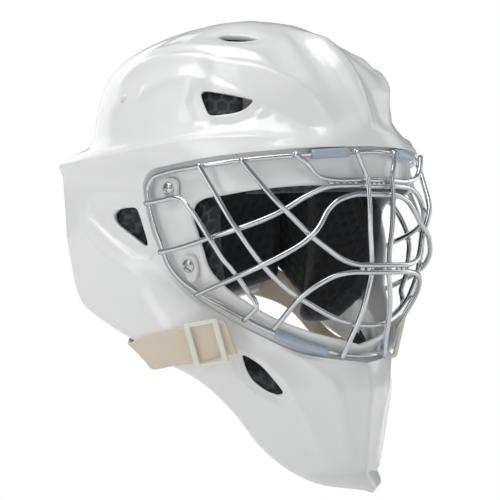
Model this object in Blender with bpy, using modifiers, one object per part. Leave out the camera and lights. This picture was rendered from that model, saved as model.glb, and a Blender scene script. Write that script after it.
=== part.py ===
"""Goalie mask: a moulded shell with a wire cage, a foam liner, a swinging
backplate and an elastic harness, built as separate named pieces.

Lengths are in millimetres in this file and are turned to metres when a mesh is
made. The wearer looks along -Y, the wearer's right is -X, and +Z is up.
Heights are first given from the middle of the cage; CROWN_RISE then lowers
everything so that the crown pad's flat underside lies at height zero.
"""
import bmesh
import bpy
import numpy as np
from mathutils import Matrix, Vector

MM = 0.001
CROWN_RISE = 134.0          # middle of the cage to the crown pad's underside
AXIS_Y = -15.0              # the upright line that every section is drawn around
GAP = 0.3                   # clearance that touching pieces keep

SHELL_WALL = 3.5
WIRE_RADIUS = 1.8
LAYER_PITCH = 2 * WIRE_RADIUS + 2 * GAP  # rim layer to the layer that lies over it
SLEEVE_WALL = 1.2
SLEEVE_SIDES = 8
SLEEVE_BORE = (WIRE_RADIUS + GAP) / np.cos(np.pi / SLEEVE_SIDES)
FLANGE_DROP = LAYER_PITCH + SLEEVE_BORE + SLEEVE_WALL + 1.5 * GAP   # outer wires to flange
STRAP_THICKNESS = 1.6
HINGE_Y, HINGE_Z = 90.0, 104.0           # the line the backplate swings about

# Head form: height, half width, front, rear, squareness of the front, of the rear.
SECTIONS = np.array([
    (-172, 62, -127, 95, 1.58, 2.2),
    (-158, 70, -124, 98, 1.58, 2.2),
    (-148, 77, -117, 100, 1.58, 2.2),
    (-130, 85, -119, 102, 1.52, 2.2),
    (-110, 93, -122, 104, 1.47, 2.2),
    (-90, 98, -128, 106, 1.42, 2.2),
    (-75, 100, -127, 107, 1.45, 3.0),
    (-50, 103, -128, 110, 1.7, 3.8),
    (-20, 106, -131, 112, 2.0, 4.2),
    (20, 107, -132, 113, 2.1, 4.4),
    (48, 108, -129, 114, 1.95, 4.4),
    (58, 110.5, -128.5, 114, 1.9, 4.4),
    (65, 108, -128.5, 110, 1.85, 3.0),
    (72, 104.5, -128.5, 108, 1.75, 2.2),
    (79, 102, -127, 108, 1.68, 2.05),
    (87, 99.5, -124, 109, 1.63, 2.05),
    (96, 97, -119, 109, 1.65, 2.05),
    (110, 92, -110.5, 108, 1.78, 2.0),
    (118, 88, -104.5, 105, 1.75, 2.0),
    (126.5, 82, -98, 98, 1.55, 2.0),
    (133.5, 74, -90.5, 91, 1.45, 2.0),
    (141.5, 62, -80, 78, 1.4, 2.0),
    (150.5, 44, -57, 53, 1.5, 2.0),
    (155.5, 28, -40, 30, 1.7, 2.0),
    (158.2, 8, -22, -6, 2.0, 2.0)], float)
HEAD_TOP = SECTIONS[-1, 0]

# Cage form, through the middle of the outer wires: height, half width, front, squareness.
CAGE_SECTIONS = np.array([
    (-80, 76, -118, 2.0),
    (-60, 81, -123, 2.05),
    (-45, 85, -128, 2.15),
    (-30, 91, -132.5, 2.3),
    (-10, 100, -136.5, 2.45),
    (15, 104, -135, 2.5),
    (45, 105, -132, 2.35),
    (65, 106, -129.5, 2.2),
    (80, 106, -127, 2.15)], float)

# Edges of the shell on the right half, from the top middle round to the chin:
# share of the way round, turn from straight ahead in degrees, height.
PORT_EDGE = np.array([
    (0, 0, 45.5), (0.12, 26, 45), (0.24, 45, 42), (0.34, 58, 38), (0.40, 66, 35.5),
    (0.43, 70.5, 31), (0.46, 72, 24), (0.52, 70, 12), (0.58, 68, 1), (0.64, 66, -12),
    (0.70, 61, -24), (0.76, 50, -37), (0.83, 38, -48), (0.90, 24, -56.5), (1, 0, -66)], float)
STEP_EDGE = np.array([
    (0, 0, 70), (0.12, 26, 68), (0.24, 49, 64.5), (0.34, 67, 60.5), (0.40, 79.5, 57),
    (0.43, 89, 54), (0.46, 94, 43), (0.52, 90.5, 15), (0.58, 87, 0), (0.64, 83.5, -14),
    (0.70, 75, -30), (0.76, 60, -44.5), (0.83, 43, -58), (0.90, 25, -70), (1, 0, -76)], float)
REAR_EDGE = np.array([
    (0, 180, 92), (0.10, 166, 91), (0.20, 151, 86), (0.30, 140, 76), (0.38, 132, 65),
    (0.42, 129.5, 56), (0.47, 129.5, 38), (0.52, 127, 5), (0.57, 124.5, -26),
    (0.60, 122.5, -36), (0.64, 117, -44), (0.68, 109, -52), (0.73, 98, -61), (0.78, 84, -74),
    (0.82, 70, -86), (0.86, 56, -106), (0.90, 43, -131), (0.94, 29, -147.5),
    (0.97, 16, -156), (1, 0, -159)], float)
# How far the shell stands proud of the flange at the step: share of the way, height.
STEP_RISE = np.array([
    (0, 5), (0.24, 6), (0.43, 5.5), (0.52, 4.8), (0.64, 4), (0.76, 3), (0.86, 4), (1, 9)], float)

# Cage wires on the right half: turn in degrees, height, layer (0 on the rim, 1 over it).
RIM = [(0, 66.2, 0), (19, 64.5, 0), (34, 62.3, 0), (51.5, 59.2, 0), (68.7, 55.3, 0),
       (82.4, 51.7, 0), (88.9, 48.5, 0), (91.8, 42.5, 0), (91.4, 34.4, 0), (88.1, 15.5, 0),
       (84.8, 1.8, 0), (82.9, -7.6, 0), (79.5, -17, 0), (71.5, -27.5, 0), (60, -37.5, 0),
       (38, -55.3, 0), (29.5, -61.2, 0), (18, -67.3, 0), (9, -70.3, 0), (0, -71.2, 0)]
CROSS_WIRES = {
    "cage_brow_bar": [
        (32.6, 64.2, 1), (28.1, 56.2, 1), (24.3, 49, 0.5), (19.6, 47, 0), (8, 47, 0),
        (0, 47, 0)],
    "cage_lower_eye_bar": [
        (50.7, 60.4, 1), (44.9, 46.4, 1), (36.9, 27.8, 1), (32.7, 19.4, 0.5), (28.3, 11, 0),
        (22, 0.5, 0.5), (17.7, -6, 1), (13, -9.3, 1), (6.6, -10.1, 1), (0, -10.1, 1)],
    "cage_cheek_bar": [
        (66.2, 57.3, 1), (60.2, 39.8, 1), (51.6, 13.5, 1), (47, 0, 0.5), (43.1, -10, 0),
        (33.7, -27, 0), (24, -38.1, 0), (15.9, -45.4, 0), (6.6, -49.8, 0), (0, -50.6, 0)],
    "cage_upper_eye_bar": [
        (85, -1.6, 1), (74.6, 1.8, 0.5), (66.2, 6, 0), (58.3, 10.2, 0), (44.9, 18.6, 0),
        (37.4, 25.3, 0), (28, 36.4, 0), (20.8, 42, 0), (12.5, 43.1, 0), (0, 42.9, 0)],
    "cage_temple_bar": [
        (70.9, -30.7, 1), (52, -17.7, 1), (36.9, -3.3, 1), (31, 4.3, 1), (27.6, 10.2, 1),
        (24.9, 16.3, 0.5), (21.3, 26.6, 0), (18, 32.2, 0), (12.8, 36, 0), (0, 37.3, 0)],
    "cage_nose_bar": [
        (38.6, -53.3, 1), (35.3, -45.2, 1), (30.4, -32.1, 1), (25.4, -23.6, 1),
        (19.8, -17.2, 1), (14.9, -15.1, 1), (6.6, -14.8, 1), (0, -14.8, 1)],
}
SIDE_WIRES = {
    "cage_side_bar": [
        (91.1, 31.5, 1), (82.3, 33.4, 1), (76.1, 35, 1), (72.6, 33.2, 1), (69.2, 27.3, 1),
        (60.2, 4.3, 1), (57, -6, 0.5), (54, -13, 0), (51.8, -18.6, 0), (48.2, -28.8, 0),
        (45.8, -33.9, 0.5), (45.3, -38.1, 1), (47.4, -42.4, 1), (50.7, -47.2, 1)],
    "cage_center_bar": [
        (9.4, 66.6, 1), (8.1, 58.6, 1), (6.1, 49.3, 1), (5.8, 38, 1), (5.3, 14.5, 0.5),
        (4.3, -4.2, 0), (4.2, -14.5, 0), (5.5, -27.6, 0.5), (7.2, -44.5, 1),
        (9.1, -58.9, 1), (11.6, -72.9, 1)],
}

# Vent openings on the right half: turn in degrees, height.
VENTS = {
    "upper": [(70, 105), (68, 108), (48, 102), (47, 100), (50, 95), (54, 92), (64, 90), (66, 92)],
    "top": [(75, 144.5), (71, 146), (54, 145.5), (42, 143), (55, 140), (68, 140.5)],
    "side": [(108.5, 24), (106, 28), (99, 29), (97.5, 26), (94, 8), (93.5, 3), (95, 2), (102, 11),
             (107.5, 18)],
    "jaw": [(52, -69), (43, -78), (37, -89), (34, -95.5), (36, -97.5), (41, -95), (47, -88),
            (50, -80)],
}
RIVET_SPOT = (114, 104)
CLIP_SPOTS = {"upper": (81, 41), "lower": (72.5, -10)}
BUCKLE_TURN = 64.5          # where along the lower strap the buckle sits


def smooth(x, xs, ys):
    """Monotone cubic curve through the knots xs, ys, read at x."""
    step = np.diff(xs)
    slope = np.diff(ys) / step
    tangent = np.zeros(len(xs))
    before = 2 * step[1:] + step[:-1]
    after = step[1:] + 2 * step[:-1]
    same_way = slope[:-1] * slope[1:] > 0
    safe = np.where(slope == 0, 1.0, slope)
    mean = (before + after) / (before / safe[:-1] + after / safe[1:])
    tangent[1:-1] = np.where(same_way, mean, 0.0)
    tangent[0] = slope[0]
    tangent[-1] = slope[-1]
    x = np.clip(x, xs[0], xs[-1])
    i = np.clip(np.searchsorted(xs, x) - 1, 0, len(step) - 1)
    t = (x - xs[i]) / step[i]
    start = (2 * t**3 - 3 * t**2 + 1) * ys[i] + (t**3 - 2 * t**2 + t) * step[i] * tangent[i]
    end = (3 * t**2 - 2 * t**3) * ys[i + 1] + (t**3 - t**2) * step[i] * tangent[i + 1]
    return start + end


def superellipse(turn, half_width, depth, power):
    """Distance from the axis to |x/half_width|^power + |y/depth|^power = 1."""
    return (np.abs(np.sin(turn) / half_width) ** power
            + np.abs(np.cos(turn) / depth) ** power) ** (-1 / power)


def head_radius(turn, height):
    """Distance from the upright axis to the head form, turn in radians."""
    half, front, rear, front_power, rear_power = (
        smooth(height, SECTIONS[:, 0], SECTIONS[:, k]) for k in range(1, 6))
    ahead = np.cos(turn) > 0
    depth = np.where(ahead, AXIS_Y - front, rear - AXIS_Y)
    power = np.where(ahead, front_power, rear_power)
    return superellipse(turn, half, depth, power)


def cage_radius(turn, height):
    """Distance from the upright axis to the middle of the outer wires."""
    half, front, power = (
        smooth(height, CAGE_SECTIONS[:, 0], CAGE_SECTIONS[:, k]) for k in range(1, 4))
    return superellipse(turn, half, AXIS_Y - front, power)


def blend_weight(value, low, high):
    """0 below low, 1 above high, and a smooth step between."""
    t = np.clip((value - low) / (high - low), 0, 1)
    return t * t * (3 - 2 * t)


def liner_radius(turn, height):
    """Outer face of the liner: inside the shell, and inside the flange near the cage."""
    inside_shell = head_radius(turn, height) - SHELL_WALL - 1.5
    inside_flange = cage_radius(turn, height) - FLANGE_DROP - SHELL_WALL - 1.0
    near_cage = (1 - blend_weight(np.abs(turn), 1.66, 1.92))
    near_cage = near_cage * (1 - blend_weight(height, 76, 92)) * blend_weight(height, -86, -72)
    return inside_shell - near_cage * np.maximum(inside_shell - inside_flange, 0)


def at(turn_degrees, height, radius):
    """Point at a turn from straight ahead (right side positive), height and radius."""
    turn = np.radians(turn_degrees)
    height = np.asarray(height, float)
    return np.stack([-radius * np.sin(turn), AXIS_Y - radius * np.cos(turn),
                     height + 0 * radius], -1)


def on_head(turn_degrees, height, out=0.0):
    turn = np.radians(turn_degrees)
    return at(turn_degrees, height, head_radius(turn, np.asarray(height, float)) + out)


def on_cage(turn_degrees, height, layer):
    turn = np.radians(turn_degrees)
    out = (np.asarray(layer, float) - 1) * LAYER_PITCH
    return at(turn_degrees, height, cage_radius(turn, np.asarray(height, float)) + out)


def outward(surface, turn_degrees, height):
    """Unit normal of a surface(turn, height), pointing away from the head."""
    step = 0.5
    across = surface(turn_degrees + step, height) - surface(turn_degrees - step, height)
    up = surface(turn_degrees, height + step) - surface(turn_degrees, height - step)
    normal = np.cross(up, across)
    return normal / np.linalg.norm(normal, axis=-1, keepdims=True)


def cast_to_head(directions, centre):
    """Where rays from the centre meet the head form, by halving the interval."""
    near = np.ones(directions.shape[:-1])
    far = near * 330.0
    for _ in range(34):
        middle = (near + far) / 2
        point = centre + directions * middle[..., None]
        x = point[..., 0]
        y = point[..., 1] - AXIS_Y
        turn = np.arctan2(np.abs(x), -y)
        out = np.hypot(x, y) > head_radius(turn, point[..., 2])
        out = out | (point[..., 2] > HEAD_TOP)
        far = np.where(out, middle, far)
        near = np.where(out, near, middle)
    return centre + directions * near[..., None]


def unit(vectors):
    return vectors / np.linalg.norm(vectors, axis=-1, keepdims=True)


# ---------------------------------------------------------------- scene and meshes

for old in list(bpy.data.objects):
    bpy.data.objects.remove(old)
PARTS = bpy.data.collections.new("goalie_mask")
CUTTERS = bpy.data.collections.new("cutters")
for group in (PARTS, CUTTERS):
    bpy.context.scene.collection.children.link(group)


def finish(name, colour, roughness, metallic=0.0):
    """A plain Principled finish."""
    material = bpy.data.materials.new(name)
    material.use_nodes = True
    shader = material.node_tree.nodes["Principled BSDF"]
    shader.inputs["Base Color"].default_value = (*colour, 1)
    shader.inputs["Roughness"].default_value = roughness
    shader.inputs["Metallic"].default_value = metallic
    return material


WHITE_SHELL = finish("white_gloss_shell", (0.86, 0.86, 0.85), 0.22)
WIRE = finish("polished_steel_wire", (0.72, 0.72, 0.72), 0.18, 1.0)
FOAM = finish("black_foam", (0.02, 0.02, 0.022), 0.8)
ELASTIC = finish("beige_elastic", (0.70, 0.62, 0.48), 0.85)
DARK_STRAP = finish("black_webbing", (0.03, 0.03, 0.03), 0.85)
BUCKLE = finish("cream_plastic", (0.84, 0.82, 0.72), 0.4)
CLIP = finish("white_plastic_clip", (0.82, 0.82, 0.82), 0.4)
SLEEVE = finish("blue_grey_sleeve", (0.42, 0.48, 0.55), 0.3)
SCREW = finish("plated_screw", (0.66, 0.66, 0.66), 0.28, 1.0)
RIVET = finish("white_rivet", (0.78, 0.78, 0.77), 0.35)


def add_object(name, mesh, material, group=PARTS):
    obj = bpy.data.objects.new(name, mesh)
    group.objects.link(obj)
    if material:
        mesh.materials.append(material)
    if group is CUTTERS:
        obj.hide_render = True
        obj.display_type = "WIRE"
    return obj


def to_metres(points):
    """Millimetres from the middle of the cage to metres from the crown rest."""
    return (np.asarray(points, float).reshape(-1, 3) - (0, 0, CROWN_RISE)) * MM


def mesh_from(name, points, faces, smooth_shading=True, away_from=None):
    """A mesh with its faces pointing out; an open surface looks away from a point."""
    mesh = bpy.data.meshes.new(name)
    mesh.from_pydata(to_metres(points).tolist(), [], faces)
    bm = bmesh.new()
    bm.from_mesh(mesh)
    bmesh.ops.recalc_face_normals(bm, faces=bm.faces)
    if away_from is not None:
        origin = Vector(to_metres(away_from)[0].tolist())
        facing = sum(f.normal.dot((f.calc_center_median() - origin).normalized()) * f.calc_area()
                     for f in bm.faces)
        if facing < 0:
            bmesh.ops.reverse_faces(bm, faces=bm.faces)
    bm.to_mesh(mesh)
    bm.free()
    if smooth_shading:
        mesh.shade_smooth()
        mesh.set_sharp_from_angle(angle=np.radians(38))
    return mesh


def grid_faces(rows, columns, closed):
    """Quads of a grid whose columns may run round to the first one again."""
    wrap = columns if closed else columns - 1
    faces = []
    for i in range(rows - 1):
        for j in range(wrap):
            k = (j + 1) % columns
            faces.append((i * columns + j, i * columns + k,
                          (i + 1) * columns + k, (i + 1) * columns + j))
    return faces


def thicken(obj, thickness, inward=True):
    wall = obj.modifiers.new("wall", "SOLIDIFY")
    wall.thickness = thickness * MM
    wall.offset = -1 if inward else 1
    wall.use_even_offset = obj.name == "shell"
    wall.use_quality_normals = True


def cut(obj, cutter):
    knife = obj.modifiers.new("cut_" + cutter.name, "BOOLEAN")
    knife.operation = "DIFFERENCE"
    knife.object = cutter


def prism(name, outline, direction, above, below):
    """Cutter with the outline's shape, straight along a direction."""
    outline = np.asarray(outline, float)
    count = len(outline)
    off_plane = (outline - outline.mean(0)) @ direction
    outline = outline - off_plane[:, None] * direction
    points = np.concatenate([outline + direction * above, outline - direction * below])
    faces = [tuple(range(count)), tuple(range(2 * count - 1, count - 1, -1))]
    for i in range(count):
        k = (i + 1) % count
        faces.append((i, k, count + k, count + i))
    return add_object(name, mesh_from(name, points, faces, False), None, CUTTERS)


def frame_on(surface, spot, side):
    """Point, outward normal and the two directions along a surface at a spot."""
    turn, height = spot
    centre = surface(side * turn, height)
    normal = outward(surface, side * turn, height)
    level = unit(np.cross((0, 0, 1), normal))
    return centre, normal, level, np.cross(normal, level)


def turned(name, profile, centre, normal, material, group=PARTS, sides=12):
    """A turned piece: the profile (radius, height) runs from the top down, about a normal."""
    spin = np.linspace(0, 2 * np.pi, sides, endpoint=False)
    level = unit(np.cross(normal, (0.3, 0.2, 0.93)))
    other = np.cross(normal, level)
    ring = np.cos(spin)[:, None] * level + np.sin(spin)[:, None] * other
    points = np.concatenate([centre + radius * ring + height * normal
                             for radius, height in profile])
    rows = len(profile)
    faces = grid_faces(rows, sides, True)
    faces.append(tuple(range(sides)))
    faces.append(tuple(range((rows - 1) * sides, rows * sides)))
    return add_object(name, mesh_from(name, points, faces), material, group)


# ---------------------------------------------------------------- shell

HALF_STATIONS = 29
RINGS = 12
CENTRE = np.array([0.0, AXIS_Y, -55.0])
STEP_REACH = 24.0           # how far from the step the head form is fully regained


def half_ring(table, share):
    return (smooth(share, table[:, 0], table[:, 1]), smooth(share, table[:, 0], table[:, 2]))


def shell_rings():
    """Rings of points from the port's edge over the step to the rear edge, right half."""
    share = np.linspace(0, 1, HALF_STATIONS + 1)
    port_turn, port_height = half_ring(PORT_EDGE, share)
    step_turn, step_height = half_ring(STEP_EDGE, share)
    rear_turn, rear_height = half_ring(REAR_EDGE, share)
    flange = 1 - FLANGE_DROP / LAYER_PITCH
    rings = []
    for way in (0.0, 0.5, 0.97):
        turn = port_turn + way * (step_turn - port_turn)
        height = port_height + way * (step_height - port_height)
        rings.append(on_cage(turn, height, flange))
    foot = on_cage(step_turn, step_height, flange)
    rise = smooth(share, STEP_RISE[:, 0], STEP_RISE[:, 1])
    away = unit(foot - (0, AXIS_Y, 0) - foot * (0, 0, 1))
    crest = foot + away * rise[:, None]
    start = unit(crest - CENTRE)
    end = unit(on_head(rear_turn, rear_height) - CENTRE)
    start_on_head = cast_to_head(start, CENTRE)
    angle = np.arccos(np.clip((start * end).sum(-1), -1, 1))[:, None]
    rings.append(crest)
    for way in np.linspace(0, 1, RINGS + 1)[1:] ** 1.15:
        heading = (np.sin((1 - way) * angle) * start + np.sin(way * angle) * end) / np.sin(angle)
        point = cast_to_head(heading, CENTRE)
        distance = np.linalg.norm(point - start_on_head, axis=-1, keepdims=True)
        fade = np.exp(-(distance / STEP_REACH) ** 2)
        rings.append(point + (crest - start_on_head) * fade)
    return np.array(rings)


def make_shell():
    right = shell_rings()
    left = (right * (-1, 1, 1))[:, -2:0:-1]
    rings = np.concatenate([right, left], axis=1)
    rows, columns = rings.shape[:2]
    mesh = mesh_from("shell", rings, grid_faces(rows, columns, True), away_from=CENTRE)
    shell = add_object("shell", mesh, WHITE_SHELL)
    thicken(shell, SHELL_WALL)
    for vent, outline in VENTS.items():
        spots = np.array(outline, float)
        for side, word in ((1, "right"), (-1, "left")):
            points = on_head(side * spots[:, 0], spots[:, 1])
            middle = spots.mean(0)
            normal = outward(on_head, side * middle[0], middle[1])
            cut(shell, prism("vent_" + vent + "_" + word, points, normal, 14, 22))
    return shell


# Backplate form: height, half width, rear.
BACK_SECTIONS = np.array([
    (-50, 68, 100), (-20, 80, 110), (30, 84, 115), (65, 78, 108), (85, 66, 94),
    (98, 56, 84)], float)
BACK_REACH = 62.0           # turn from straight back at which the half width is reached


def back_point(turn_degrees, height, out=0.0):
    """Point on the backplate's outer face, a turn from straight back (left positive)."""
    turn = np.radians(turn_degrees)
    height = np.asarray(height, float)
    half = smooth(height, BACK_SECTIONS[:, 0], BACK_SECTIONS[:, 1]) + out
    rear = smooth(height, BACK_SECTIONS[:, 0], BACK_SECTIONS[:, 2]) + out
    return np.stack([half * np.sin(turn) / np.sin(np.radians(BACK_REACH)),
                     rear * np.cos(turn) ** 0.8, height + 0 * turn], -1)


def back_panel(reach, lower_middle, lower_side, upper, columns, rows, out=0.0):
    """Grid over the backplate form; its lower edge rises towards the sides."""
    turn = np.linspace(-reach, reach, columns)[None, :]
    low = lower_middle + (lower_side - lower_middle) * (turn / reach) ** 2
    height = low + np.linspace(0, 1, rows)[:, None] * (upper - low)
    return back_point(turn + 0 * height, height, out)


def make_backplate():
    """Rear panel: a curved plate inside the shell's rear opening."""
    points = back_panel(BACK_REACH, -48, -30, 98, 13, 10)
    mesh = mesh_from("backplate", points, grid_faces(10, 13, False), away_from=CENTRE)
    thicken(add_object("backplate", mesh, WHITE_SHELL), 3.0)


# ---------------------------------------------------------------- cage

def spline(points, count):
    """A round curve through points: cubic pieces over the distance along them."""
    points = np.asarray(points, float)
    along = np.concatenate([[0], np.cumsum(np.linalg.norm(np.diff(points, axis=0), axis=1))])
    tangent = np.gradient(points, along, axis=0)
    where = np.linspace(0, along[-1], count)
    i = np.clip(np.searchsorted(along, where) - 1, 0, len(points) - 2)
    step = (along[i + 1] - along[i])[:, None]
    t = ((where - along[i])[:, None]) / step
    return ((2 * t**3 - 3 * t**2 + 1) * points[i] + (t**3 - 2 * t**2 + t) * step * tangent[i]
            + (3 * t**2 - 2 * t**3) * points[i + 1] + (t**3 - t**2) * step * tangent[i + 1])


def tube(name, points, radius, material, closed=False):
    """A round wire along points, as a curve with a bevel."""
    curve = bpy.data.curves.new(name, "CURVE")
    curve.dimensions = "3D"
    curve.bevel_depth = radius * MM
    curve.bevel_resolution = 2
    curve.use_fill_caps = True
    line = curve.splines.new("POLY")
    places = to_metres(points)
    line.points.add(len(places) - 1)
    line.points.foreach_set("co", np.c_[places, np.ones(len(places))].ravel())
    line.use_cyclic_u = closed
    line.use_smooth = True
    return add_object(name, curve, material)


DEGREE = 1.8                # about the length of one degree of turn on the cage


def wire_points(table, count, side=1):
    """A wire's route: a round curve through turn, height and layer, laid on the cage."""
    flat = spline(np.array(table, float) * (DEGREE, 1, LAYER_PITCH), count)
    turn, height, layer = (flat / (DEGREE, 1, LAYER_PITCH)).T
    return on_cage(side * turn, height, layer)


def mirrored(table):
    """A wire given from its right end to the middle, carried on to its left end."""
    return list(table) + [(-turn, height, layer) for turn, height, layer in table[-2::-1]]


def rim_points():
    """The rim's closed loop, starting and ending at the top middle."""
    return wire_points(mirrored(RIM), 61)[:-1]


def make_cage():
    tube("cage_rim", rim_points(), WIRE_RADIUS, WIRE, closed=True)
    for name, table in CROSS_WIRES.items():
        tube(name, wire_points(mirrored(table), 4 * len(table) + 1), WIRE_RADIUS, WIRE)
    for name, table in SIDE_WIRES.items():
        for side, word in ((1, "right"), (-1, "left")):
            tube(name + "_" + word, wire_points(table, 19, side), WIRE_RADIUS, WIRE)


def make_sleeves():
    """Plastic sleeves pushed over the rim wire where it bears on the shell."""
    for place, low, high in (("upper", 22.5, 51), ("lower", -57, -28)):
        for side, word in ((1, "right"), (-1, "left")):
            dense = wire_points(RIM, 400, side)
            keep = (side * -dense[:, 0] > abs(low if place == "upper" else high))
            keep = keep & (side * -dense[:, 0] < abs(high if place == "upper" else low))
            keep = keep & ((dense[:, 2] > 0) == (place == "upper"))
            path = spline(dense[keep], 7)
            name = "rim_sleeve_" + place + "_" + word
            spin = np.linspace(0, 2 * np.pi, SLEEVE_SIDES, endpoint=False)
            along = unit(np.gradient(path, axis=0))
            level = unit(np.cross(along, (0, 0, 1.0)))
            other = np.cross(along, level)
            ring = (np.cos(spin)[None, :, None] * level[:, None]
                    + np.sin(spin)[None, :, None] * other[:, None])
            bore = path[:, None] + SLEEVE_BORE * ring
            mesh = mesh_from(name, bore, grid_faces(7, SLEEVE_SIDES, True), away_from=path[3])
            thicken(add_object(name, mesh, SLEEVE), SLEEVE_WALL, inward=False)


def make_clips(shell):
    """Clips that hold the rim to the shell, each with its screw and its T-nut."""
    flange = 1 - FLANGE_DROP / LAYER_PITCH

    def seat(turn, height):
        return on_cage(turn, height, flange)

    for place, spot in CLIP_SPOTS.items():
        for side, word in ((1, "right"), (-1, "left")):
            tail = place + "_" + word
            centre, normal, level, upward = frame_on(seat, spot, side)
            lift = 0.8
            corners = [(-5.5, -6.5), (5.5, -6.5), (5.5, 6.5), (-5.5, 6.5)]
            outline = np.array([centre + a * level + b * upward for a, b in corners])
            points = np.concatenate([outline + normal * (lift + 2.0), outline + normal * lift])
            faces = [(0, 1, 2, 3), (7, 6, 5, 4), (0, 4, 5, 1), (1, 5, 6, 2), (2, 6, 7, 3),
                     (3, 7, 4, 0)]
            clip = add_object("cage_clip_" + tail,
                              mesh_from("cage_clip_" + tail, points, faces, False), CLIP)
            edge = clip.modifiers.new("round", "BEVEL")
            edge.width = 0.6 * MM
            edge.segments = 1
            hole = turned("hole_" + tail, [(2.4, 12), (2.4, -14)], centre, normal, None, CUTTERS)
            cut(clip, hole)
            cut(shell, hole)
            top = lift + 2.0 + GAP
            turned("clip_screw_" + tail,
                   [(2.2, top + 2.5), (4.2, top + 1.6), (4.8, top), (2.1, top), (2.1, -5.2)],
                   centre, normal, SCREW)
            turned("clip_nut_" + tail,
                   [(2.2 + 1.6, -5.5), (6.0, -5.5), (6.0, -7.2), (3.8, -7.2)],
                   centre, normal, SCREW)


# ---------------------------------------------------------------- liner

def pad(name, side, lower, upper, thickness, inset=0.0, columns=9, rows=5):
    """A foam block along the liner surface, between a lower and an upper edge.

    Each edge is a list of turn and height, running over the same turns.
    """
    lower = np.array(lower, float)
    upper = np.array(upper, float)
    turn = np.linspace(lower[0, 0], lower[-1, 0], columns)
    low = smooth(turn, lower[:, 0], lower[:, 1])
    high = smooth(turn, upper[:, 0], upper[:, 1])
    way = np.linspace(0, 1, rows)[:, None]
    height = low + way * (high - low)
    turn = side * turn + 0 * way
    points = at(turn, height, liner_radius(np.radians(turn), height) - inset)
    mesh = mesh_from(name, points, grid_faces(rows, columns, False), away_from=CENTRE)
    thicken(add_object(name, mesh, FOAM), thickness)


def make_liner():
    pad("forehead_pad", 1, [(-50, 38), (0, 40), (50, 38)], [(-50, 90), (0, 96), (50, 90)], 11,
        inset=1.0, columns=13)
    pad("sweatband", 1, [(-44, 44), (44, 44)], [(-44, 72), (44, 72)], 3, inset=14.5, columns=13,
        rows=3)
    for side, word in ((1, "right"), (-1, "left")):
        pad("temple_pad_" + word, side,
            [(63, -34), (78, -50), (95, -52), (110, -38), (126, -10)],
            [(63, 30), (78, 49), (95, 50), (110, 50), (126, 50)], 12, inset=4.5, columns=11)
        pad("upper_side_pad_" + word, side, [(56, 59), (121, 59)], [(56, 108), (121, 108)], 11,
            inset=3.5, columns=11)
        pad("jaw_pad_" + word, side, [(22, -122), (38, -112), (49, -98)],
            [(22, -74), (38, -65), (49, -60)], 10, inset=1.5)
    make_crown_pad()
    make_back_pad()


SPOKES = 24                 # corners of the round crown pad


def make_crown_pad():
    """Round pad in the dome with a flat underside that the head bears on."""
    spokes = np.linspace(0, 2 * np.pi, SPOKES, endpoint=False)
    middle = np.array([0.0, -4.0, 60.0])
    rows = []
    for lean in (6, 14, 22, 29):
        tilt = np.radians(lean)
        heading = np.stack([np.sin(tilt) * np.cos(spokes), np.sin(tilt) * np.sin(spokes),
                            np.cos(tilt) + 0 * spokes], -1)
        dome = cast_to_head(heading, middle)
        rows.append(dome - heading * (SHELL_WALL + 1.8))
    top_edge = rows[-1]
    flat = top_edge * (0.86, 0.86, 0) + (0, -0.56, CROWN_RISE)
    rows.append(top_edge * (1, 1, 0) + (0, 0, CROWN_RISE + 0.45 * (top_edge[0, 2] - CROWN_RISE)))
    rows.append(flat)
    points = np.concatenate(rows)
    faces = grid_faces(len(rows), SPOKES, True)
    faces.append(tuple(range(SPOKES)))
    faces.append(tuple(range((len(rows) - 1) * SPOKES, len(rows) * SPOKES)))
    add_object("crown_pad", mesh_from("crown_pad", points, faces), FOAM)


def make_back_pad():
    points = back_panel(72, -44, -20, 80, 13, 7, out=-5.5)
    mesh = mesh_from("back_pad", points, grid_faces(7, 13, False), away_from=CENTRE)
    thicken(add_object("back_pad", mesh, FOAM), 11)


# ---------------------------------------------------------------- harness

STRAP_STANDOFF = 2.8        # middle of the strap to the shell's outer face
STRAP_CROWN_WIDTH = 22.0

# The lower strap's two edges on the right side. It runs back over the jaw, turns in
# round the shell's lower edge and runs up inside to the backplate.
STRAP_UPPER_OUTSIDE = [(57, -47), (68, -50), (80, -53.5), (91, -57.5), (100.5, -63)]
STRAP_LOWER_OUTSIDE = [(53, -69), (62, -72.5), (71, -75.5), (80, -78), (87.5, -80.5)]
STRAP_UPPER_INSIDE = [(-92, 12, -52), (-90, 30, -32), (-88, 50, -14)]
STRAP_LOWER_INSIDE = [(-88, 0, -74), (-86, 18, -58), (-86, 40, -42)]
STRAP_UPPER_LANDING = [(-60, -8), (-49, -6)]
STRAP_LOWER_LANDING = [(-62, -34), (-51, -31)]
LANDING = 2.8               # middle of a strap's end to the backplate's outer face


def ribbon(name, upper, lower, thickness, material):
    """A flat strap between two edge lines that have the same number of points."""
    upper = np.asarray(upper, float)
    lower = np.asarray(lower, float)
    along = unit(np.gradient((upper + lower) / 2, axis=0))
    facing = unit(np.cross(upper - lower, along)) * thickness / 2
    rows = np.stack([upper + facing, lower + facing, lower - facing, upper - facing], 1)
    count = len(upper)
    faces = grid_faces(count, 4, True)
    faces.append((3, 2, 1, 0))
    faces.append(tuple(4 * (count - 1) + k for k in range(4)))
    return add_object(name, mesh_from(name, rows, faces), material)


def lower_strap_edges(side, count=21):
    edges = []
    for outside, inside, landing in (
            (STRAP_UPPER_OUTSIDE, STRAP_UPPER_INSIDE, STRAP_UPPER_LANDING),
            (STRAP_LOWER_OUTSIDE, STRAP_LOWER_INSIDE, STRAP_LOWER_LANDING)):
        turn, height = np.array(outside, float).T
        outer = on_head(turn, height, STRAP_STANDOFF)
        turn, height = np.array(landing, float).T
        end = back_point(turn, height, LANDING)
        edges.append(spline(np.concatenate([outer, inside, end]), count) * (side, 1, 1))
    return edges


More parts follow.
